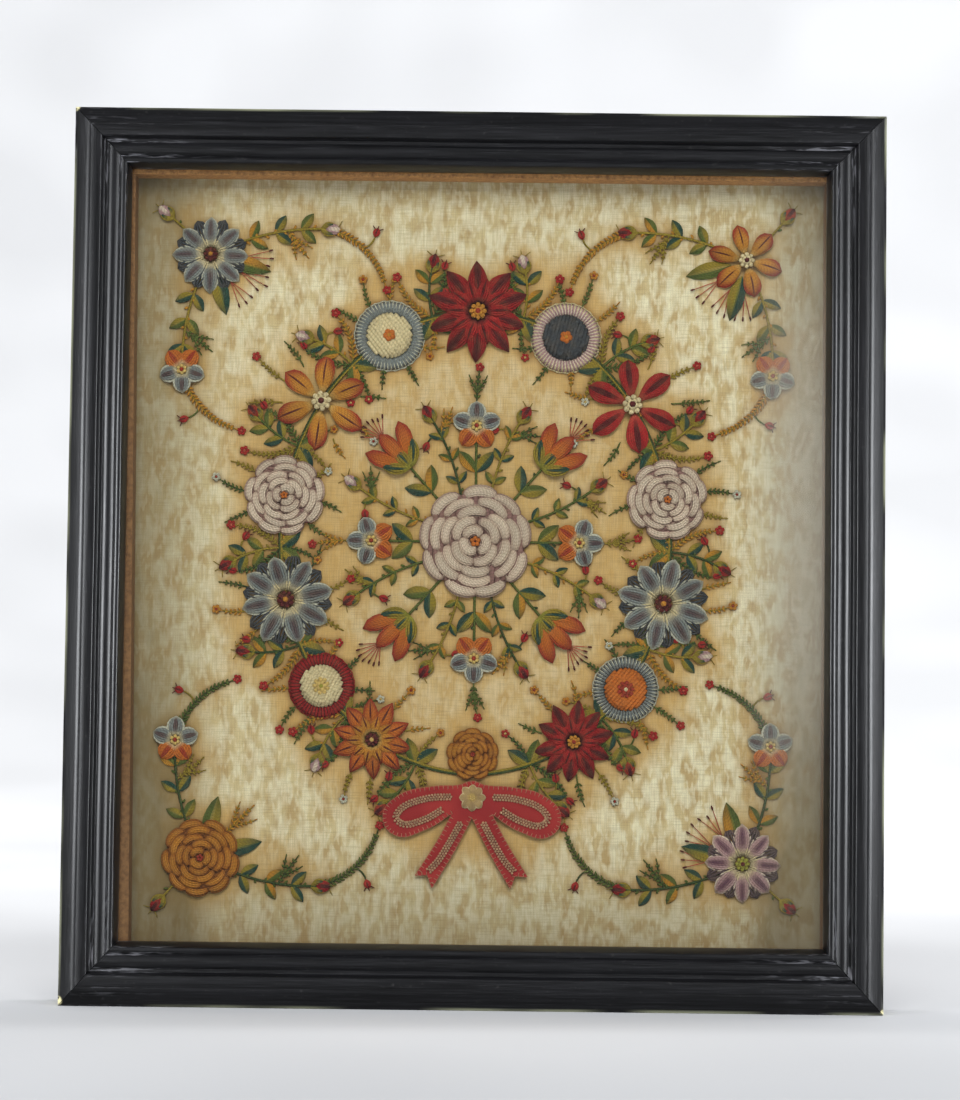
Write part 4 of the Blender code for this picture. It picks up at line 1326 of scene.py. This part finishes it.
class Shade:
    """A material's nodes. node() makes one, sets its inputs and links those that are sockets."""

    def __init__(self, name, **inputs):
        self.material = bpy.data.materials.new(name)
        self.material.use_nodes = True
        self.tree = self.material.node_tree
        self.surface = self.tree.nodes["Principled BSDF"]
        self.set(self.surface, inputs)
        self.place = self.node("TexCoord", output="Object")

    def set(self, node, inputs):
        for name, value in inputs.items():
            socket = node.inputs[name if isinstance(name, int) else name.replace("_", " ")]
            if isinstance(value, bpy.types.NodeSocket):
                self.tree.links.new(value, socket)
            else:
                socket.default_value = value

    def node(self, kind, inputs=None, output=0, **settings):
        node = self.tree.nodes.new(f"ShaderNode{kind}")
        for name, value in settings.items():
            setattr(node, name, value)
        self.set(node, inputs or {})
        return node.outputs[output]

    def attribute(self, name, output="Fac"):
        return self.node("Attribute", attribute_name=name, output=output)

    def split(self, vector):
        """The vector's three parts."""
        return self.node("SeparateXYZ", {0: vector}).node.outputs[:]

    def noise(self, scale, detail=2.0, roughness=0.5, place=None):
        """Noise over the object's place, or another. A scale of three numbers stretches the place."""
        place = self.place if place is None else place
        if isinstance(scale, tuple):
            place = self.node("VectorMath", {0: place, 1: scale}, operation="MULTIPLY")
            scale = 1
        inputs = {"Vector": place, "Scale": scale, "Detail": detail, "Roughness": roughness}
        return self.node("TexNoise", inputs)

    def span(self, value, low, high, start=0.0, end=1.0, kind="LINEAR"):
        """The value's way from low to high as a way from start to end."""
        inputs = {"Value": value, 1: low, 2: high, 3: start, 4: end}
        return self.node("MapRange", inputs, interpolation_type=kind)

    def eased(self, value, low, high, start=0.0, end=1.0):
        """The same with a soft start and end."""
        return self.span(value, low, high, start, end, "SMOOTHSTEP")

    def math(self, operation, first, second=0.0):
        return self.node("Math", {0: first, 1: second}, operation=operation)

    def plus(self, first, second):
        return self.math("ADD", first, second)

    def times(self, first, second):
        return self.math("MULTIPLY", first, second)

    def mix(self, share, first, second):
        """The first colour with a share of the second. Either is a socket or three sRGB values."""
        inputs = {0: share}
        for number, colour in ((6, first), (7, second)):
            inputs[number] = paint(*colour) if isinstance(colour, tuple) else colour
        return self.node("Mix", inputs, output=2, data_type="RGBA")

    def over(self, base, value, low, high, amount, colour):
        """The base with a colour over it, from none where value is low to an amount where it is high."""
        return self.mix(self.span(value, low, high, 0.0, amount), base, colour)

    def finished(self, colour, height, distance, strength, **inputs):
        """The material with its colour and with a bump of a height over a distance."""
        bump = self.node("Bump", {"Height": height, "Distance": distance, "Strength": strength})
        self.set(self.surface, {"Base_Color": colour, "Normal": bump, **inputs})
        return self.material


def wool_material():
    """Matt two-ply yarn in the stitch's own dye."""
    shade = Shade("dyed_wool", Roughness=0.92, Specular_IOR_Level=0.0)
    reached, level, upright = shade.split(shade.attribute("lay", "Vector"))
    turn = shade.times(reached, 2 * pi / PLY_TURN)
    ply = shade.plus(
        shade.times(shade.math("SINE", turn), level),
        shade.times(shade.math("COSINE", turn), upright),
    )
    fuzz = shade.noise(3200, 1, 0.6)
    # Painted shade darkens the grooves between the two plies
    colour = shade.mix(shade.span(ply, -1, 0.3, 0.26, 0.0), shade.attribute("dye", "Color"), (40, 30, 28))
    colour = shade.over(colour, shade.noise(190, 0), 0.35, 0.75, 0.09, (160, 132, 92))
    colour = shade.over(colour, fuzz, 0.45, 0.75, 0.08, (220, 196, 160))
    return shade.finished(colour, shade.plus(shade.times(ply, 0.5), fuzz), 0.00014, 0.7)


def bead_material():
    """Small worn glass beads and their thread."""
    shade = Shade("worn_beads", Roughness=0.42, Coat_Weight=0.15)
    colour = shade.over(shade.attribute("dye", "Color"), shade.noise(420, 3), 0.45, 0.75, 0.4, (132, 96, 80))
    return shade.finished(colour, shade.noise(2400, 2), 0.00008, 0.6)


def felt_material():
    """Red felt: short fibres, a little faded in patches."""
    shade = Shade("red_felt", Roughness=0.96, Sheen_Weight=0.35, Sheen_Roughness=0.5)
    fibre = shade.noise(2600, 2, 0.7)
    colour = shade.mix(shade.span(shade.noise(34, 1), 0.35, 0.68), (162, 38, 38), (184, 54, 48))
    colour = shade.over(colour, fibre, 0.40, 0.66, 0.40, (96, 20, 26))
    return shade.finished(colour, fibre, 0.00022, 0.8)


def silk_material():
    """Aged cream silk: pale upright flecks, a tan stain behind the stitching and greyed margins."""
    shade = Shade("aged_silk", Roughness=0.70, Specular_IOR_Level=0.0, Sheen_Weight=0.10)
    across, _, up = shade.split(shade.place)
    broad = shade.noise((75, 0, 40), 1, 0.6)
    threads = shade.noise((1500, 0, 60), 0)
    weft = shade.noise((60, 0, 1500), 0)
    colour = shade.mix(shade.span(broad, 0.36, 0.62), (198, 170, 121), (219, 199, 152))
    paler = shade.span(across, CLOTH_LOW.x, CLOTH_HIGH.x, 0.72, 1.15)
    for scale, low, high, amount in (
        ((105, 0, 52), 0.44, 0.60, 0.66),
        ((270, 0, 106), 0.50, 0.62, 0.48),
    ):
        pale = shade.times(shade.span(shade.noise(scale, 1, 0.6), low, high, 0.0, amount), paler)
        colour = shade.mix(pale, colour, (248, 240, 208))
    # Dye and size have stained it tan round the stitching, most of all within the garland
    from_x = shade.math("DIVIDE", shade.math("SUBTRACT", across, DESIGN_X), GARLAND_ACROSS)
    from_z = shade.math("DIVIDE", shade.math("SUBTRACT", up, DESIGN_Z), GARLAND_UP)
    squares = shade.plus(shade.math("POWER", from_x, 2), shade.math("POWER", from_z, 2))
    cloud = shade.span(shade.noise(26, 1), 0.3, 0.7, -0.5, 0.5)
    ragged = shade.plus(shade.math("SQRT", squares), shade.times(cloud, 0.2))
    halo = shade.plus(shade.attribute("halo"), shade.times(cloud, 0.13))
    within = shade.eased(ragged, 0.86, 1.22, 0.58, 0.0)
    stain = shade.math("MAXIMUM", shade.eased(halo, 0.04, 0.34, 0.0, 0.88), within)
    colour = shade.mix(stain, colour, (204, 163, 97))
    # Grime and painted shadow darken the silk right round the raised stitches
    grime_and_shadow = shade.eased(shade.attribute("grime_and_shadow"), 0.08, 0.66, 0.0, 0.70)
    colour = shade.mix(grime_and_shadow, colour, (132, 88, 40))
    # Dust and painted shade darken the margins, the corners most
    from_side = shade.math("ABSOLUTE", shade.math("SUBTRACT", across, DESIGN_X))
    low_down = shade.eased(up, CLOTH_LOW.z + 0.03, CLOTH_LOW.z + 0.30, 0.42, 0.0)
    margins = shade.times(shade.eased(from_side, 0.185, 0.250), low_down)
    for value, edge, inner, amount in (
        (across, CLOTH_LOW.x + 0.010, CLOTH_LOW.x + 0.092, 0.70),
        (across, CLOTH_HIGH.x - 0.008, CLOTH_HIGH.x - 0.066, 0.66),
        (up, CLOTH_LOW.z + 0.004, CLOTH_LOW.z + 0.100, 0.42),
        (up, CLOTH_HIGH.z - 0.010, CLOTH_HIGH.z - 0.110, 0.20),
    ):
        margins = shade.plus(margins, shade.eased(value, edge, inner, amount, 0.0))
    dust_and_shade = shade.times(margins, shade.span(broad, 0.3, 0.7, 0.80, 1.0))
    colour = shade.mix(shade.math("MINIMUM", dust_and_shade, 0.80), colour, (102, 88, 60))
    colour = shade.over(colour, threads, 0.42, 0.66, 0.20, (134, 112, 74))
    colour = shade.over(colour, weft, 0.50, 0.70, 0.20, (134, 112, 74))
    return shade.finished(colour, shade.plus(threads, shade.times(weft, 0.6)), 0.00012, 0.5)


def ebonised_material():
    """Black stained wood with brush marks and dust, scraped along its arrises near the mitres."""
    shade = Shade("ebonised_wood_polish")
    grain = shade.attribute("grain", "Vector")
    streak = shade.noise((26, 1500, 1), 1, 0.6, grain)
    long_streak = shade.noise((7, 380, 1), 1, 0.6, grain)
    marks = shade.span(shade.noise((55, 420, 1), 2, 0.65, grain), 0.50, 0.62)
    scraped = shade.times(shade.times(shade.attribute("wear"), shade.attribute("corner")), marks)
    splinters = shade.span(shade.noise(380, 1, 0.7), 0.36, 0.50)
    flat = shade.node("VectorMath", {0: shade.place, 1: (1, 0, 1)}, operation="MULTIPLY")
    chipped = 0.0
    for x, z, radius in CHIPS:
        apart = shade.node("VectorMath", {0: flat, 1: (x, 0, z)}, output=1, operation="DISTANCE")
        near = shade.span(apart, radius * 0.5, radius, 1.0, 0.0)
        chipped = shade.math("MAXIMUM", chipped, shade.times(near, splinters))
    rim = shade.times(shade.attribute("rim"), shade.span(shade.noise(20, 0), 0.40, 0.70))
    colour = shade.mix(shade.span(long_streak, 0.35, 0.70), (6, 6, 7), (16, 16, 18))
    colour = shade.over(colour, streak, 0.50, 0.74, 0.25, (40, 40, 44))
    colour = shade.over(colour, shade.noise(240, 1, 0.7), 0.66, 0.84, 0.08, (110, 108, 106))
    colour = shade.mix(shade.times(scraped, 0.40), colour, (140, 140, 146))
    colour = shade.mix(shade.times(rim, 0.5), colour, (168, 170, 140))
    colour = shade.mix(chipped, colour, (214, 206, 158))
    height = shade.plus(shade.times(streak, 0.6), long_streak)
    return shade.finished(colour, height, 0.00010, 0.35, Roughness=shade.span(streak, 0.3, 0.75, 0.30, 0.42))


def slip_material(name, pale, dark):
    """Plain brown wood with a fine upright or level grain."""
    shade = Shade(name, Roughness=0.62)
    fine = shade.noise((260, 900, 260), 4, 0.6)
    colour = shade.mix(shade.span(shade.noise(22, 3), 0.35, 0.65, 0.75, 1.0), dark, pale)
    colour = shade.over(colour, fine, 0.42, 0.66, 0.75, dark)
    return shade.finished(colour, fine, 0.0002, 0.5)


def board_material():
    """Aged softwood board with upright grain."""
    shade = Shade("old_softwood_board", Roughness=0.8)
    rings = shade.math("SINE", shade.times(shade.noise((36, 36, 1.6), 4, 0.55), 56))
    fibres = shade.noise((700, 700, 14), 3, 0.6)
    colour = shade.mix(shade.span(rings, -1.0, 1.0), (158, 118, 76), (134, 94, 58))
    colour = shade.over(colour, shade.noise(7, 3, 0.6), 0.40, 0.70, 0.6, (92, 70, 50))
    colour = shade.over(colour, fibres, 0.5, 0.75, 0.35, (70, 50, 34))
    return shade.finished(colour, fibres, 0.0003, 0.6)


def glass_material():
    """Clear glass with a pale hazy film towards its right edge. It lets the lamps' light through."""
    shade = Shade("hazed_pane")
    across, _, up = shade.split(shade.place)
    rightwards = shade.eased(across, SIGHT_RIGHT - 0.075, SIGHT_RIGHT - 0.012, 0.0, 0.20)
    from_middle = shade.math("ABSOLUTE", shade.math("SUBTRACT", up, HAZE_UP))
    veil = shade.times(rightwards, shade.eased(from_middle, 0.05, 0.26, 1.0, 0.12))
    clear = shade.node("BsdfTransparent", {"Color": (0.975, 0.985, 0.975, 1)})
    gloss = shade.node("BsdfAnisotropic", {"Color": (1, 1, 1, 1), "Roughness": 0.0})
    film = shade.node("BsdfDiffuse", {"Color": paint(214, 208, 194)})
    # Reflection by Schlick's rule, which is the same on the pane's two faces
    facing = shade.node("LayerWeight", {"Blend": 0.5}, output=1)
    mirrored = shade.plus(shade.times(shade.math("POWER", facing, 5), 0.96), 0.037)
    pane = shade.node("MixShader", {0: mirrored, 1: clear, 2: gloss})
    hazed = shade.node("MixShader", {0: veil, 1: pane, 2: film})
    shade.tree.nodes.remove(shade.surface)
    shade.set(shade.tree.nodes["Material Output"], {"Surface": hazed})
    return shade.material


def floor_material():
    """Pale matt paper, faintly mottled."""
    shade = Shade("pale_floor", Roughness=0.85, Specular_IOR_Level=0.0)
    colour = shade.mix(shade.span(shade.noise(3, 0), 0.3, 0.7), (194, 195, 197), (202, 203, 205))
    shade.set(shade.surface, {"Base_Color": colour})
    return shade.material


MATERIALS = {
    "wool": wool_material(),
    "beads": bead_material(),
    "felt": felt_material(),
    "silk": silk_material(),
    "ebonised": ebonised_material(),
    # The slips are one wood; the left, right and bottom slips take a darker copy as painted shade
    "slip": slip_material("brown_slip_wood", (220, 162, 96), (126, 74, 38)),
    "shaded_slip": slip_material("shaded_slip_wood", (152, 112, 72), (100, 66, 40)),
    "board": board_material(),
    "glass": glass_material(),
}


# Stage


def make_camera():
    """The camera stands 2 m in front of the frame, low, and looks a little up."""
    yaw, pitch, roll = [radians(degrees) for degrees in CAMERA_TURNS]
    ahead = Vector((sin(yaw) * cos(pitch), cos(yaw) * cos(pitch), sin(pitch)))
    level = Vector((cos(yaw), -sin(yaw), 0))
    upright = level.cross(ahead)
    right = level * cos(roll) + upright * sin(roll)
    up = upright * cos(roll) - level * sin(roll)
    camera = bpy.data.cameras.new("camera")
    camera.sensor_width = 36
    camera.lens = camera.sensor_width * FOCAL_PIXELS / PHOTO_HEIGHT
    obj = added("camera", camera)
    place = Matrix((right, up, -ahead)).transposed().to_4x4()
    place.translation = CAMERA_PLACE
    obj.matrix_world = place
    bpy.context.scene.camera = obj


def make_floor():
    """A pale floor that rises all round into a backdrop."""
    points = [(0, 0, -FLOOR_DROP)]
    for radius, height in FLOOR_RISE:
        for step in range(FLOOR_SIDES):
            angle = 2 * pi * step / FLOOR_SIDES
            points.append((radius * cos(angle), radius * sin(angle), height - FLOOR_DROP))
    faces = [(0, 1 + step, 1 + (step + 1) % FLOOR_SIDES) for step in range(FLOOR_SIDES)]
    faces += wrapped_faces(len(FLOOR_RISE) - 1, FLOOR_SIDES, first=1).tolist()
    floor = mesh_object("floor", points, faces, smooth_angle=60)
    floor.data.materials.append(floor_material())
    floor.visible_glossy = False


def make_light():
    """The lamps and the room. A lamp that shows in the polish neither shows in the glass nor lights what is
    behind it."""
    behind_glass = bpy.data.collections.new("behind_glass")
    for obj in BEHIND_GLASS:
        behind_glass.objects.link(obj)
    for row in behind_glass.collection_objects:
        row.light_linking.link_state = "EXCLUDE"
    for name, place, target, size, power, seen in LAMPS:
        light = bpy.data.lights.new(name, "AREA")
        light.shape = "RECTANGLE"
        light.size, light.size_y = size
        light.energy = power
        light.color = COOL_LIGHT if seen else WHITE_LIGHT
        lamp = added(name, light)
        lamp.location = place
        lamp.rotation_euler = (Vector(target) - Vector(place)).to_track_quat("-Z", "Y").to_euler()
        lamp.visible_camera = False
        lamp.visible_glossy = seen
        if seen:
            lamp.light_linking.receiver_collection = behind_glass
    world = bpy.data.worlds.new("room")
    world.use_nodes = True
    ground = world.node_tree.nodes["Background"]
    ground.inputs["Color"].default_value = ROOM_LIGHT
    ground.inputs["Strength"].default_value = ROOM_STRENGTH
    scene = bpy.context.scene
    scene.world = world
    scene.view_settings.view_transform = "Standard"
    scene.cycles.diffuse_bounces = LIGHT_BOUNCES
    scene.cycles.glossy_bounces = LIGHT_BOUNCES


# The part


def dress_nodes():
    """The solids that stay get their materials."""
    for node, material in (
        ("glass_pane", "glass"),
        ("backboard", "board"),
        ("slip_left", "shaded_slip"),
        ("slip_right", "shaded_slip"),
        ("slip_top", "slip"),
        ("slip_bottom", "shaded_slip"),
    ):
        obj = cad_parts[node]
        obj.data.materials.clear()
        obj.data.materials.append(MATERIALS[material])
        BEHIND_GLASS.append(obj)


def make_middle():
    """The garland with its flowers, and the centre's rose, blossoms and bells. Gives the last seed."""
    middle = np.array((DESIGN_X, DESIGN_Z))
    seed = 100
    top, _ = garland_point(0)
    make_flower("flower_top", "double_daisy", middle + top, TOP_FLOWER_RADIUS, 0, "crimson", seed)
    for number, (degrees, radius, form, *wools) in enumerate(GARLAND_FLOWERS, start=1):
        for side, hand, wool in zip((-1, 1), ("left", "right"), wools):
            seed += 1
            point, _ = garland_point(degrees, side)
            make_flower(f"flower_{hand}_{number}", form, middle + point, radius, -side * degrees, wool, seed)
    make_flower("flower_foot", "rose", middle + (0, FOOT_FLOWER_UP), FOOT_FLOWER_RADIUS, 0, "mustard", 130)
    make_flower("flower_centre", "rose", middle, CENTRE_FLOWER_RADIUS, 0, "lilac", 131)
    for number in range(4):
        for form, radius, reach, lean, wool in (
            ("blossom", BLOSSOM_RADIUS, BLOSSOM_REACH, 0, "blue"),
            ("bell", BELL_RADIUS, BELL_REACH, 45, "orange"),
        ):
            degrees = 90 * number + lean
            place = middle + centre_way(degrees) * reach
            seed += 1
            make_flower(f"{form}_{number + 1}", form, place, radius, degrees, wool, seed)
    return seed


def make_corners(seed):
    """A flower in each corner, its spray, and a blossom on the end of the spray's upright arm."""
    for number, (across, up, form, wool) in enumerate(CORNER_FLOWERS, start=1):
        place = np.array((DESIGN_X + across * CORNER_ACROSS, SIGHT_MIDDLE + up * CORNER_UP))
        outward = unit(np.array((across, up)))
        upright_side = -across * up
        seed += 1
        node = f"flower_corner_{number}"
        make_flower(node, form, place, CORNER_FLOWER_RADIUS, degrees_of(outward), wool, seed)
        make_corner_spray(number, place, outward, wool, upright_side)
        tip, ahead = along_path(corner_arm(outward, upright_side), 1)
        node = f"blossom_corner_{number}"
        degrees = degrees_of(ahead)
        make_flower(node, "blossom", place + tip, CORNER_BLOSSOM_RADIUS, degrees, "blue", 140 + number)


make_camera()
make_floor()
dress_nodes()
for rail_seed, rail_side in enumerate(RAIL_WIDTH):
    make_rail(rail_side, rail_seed)
make_garland()
make_centre_spray()
make_corners(make_middle())
make_felt()
make_beading()
make_silk()
make_light()
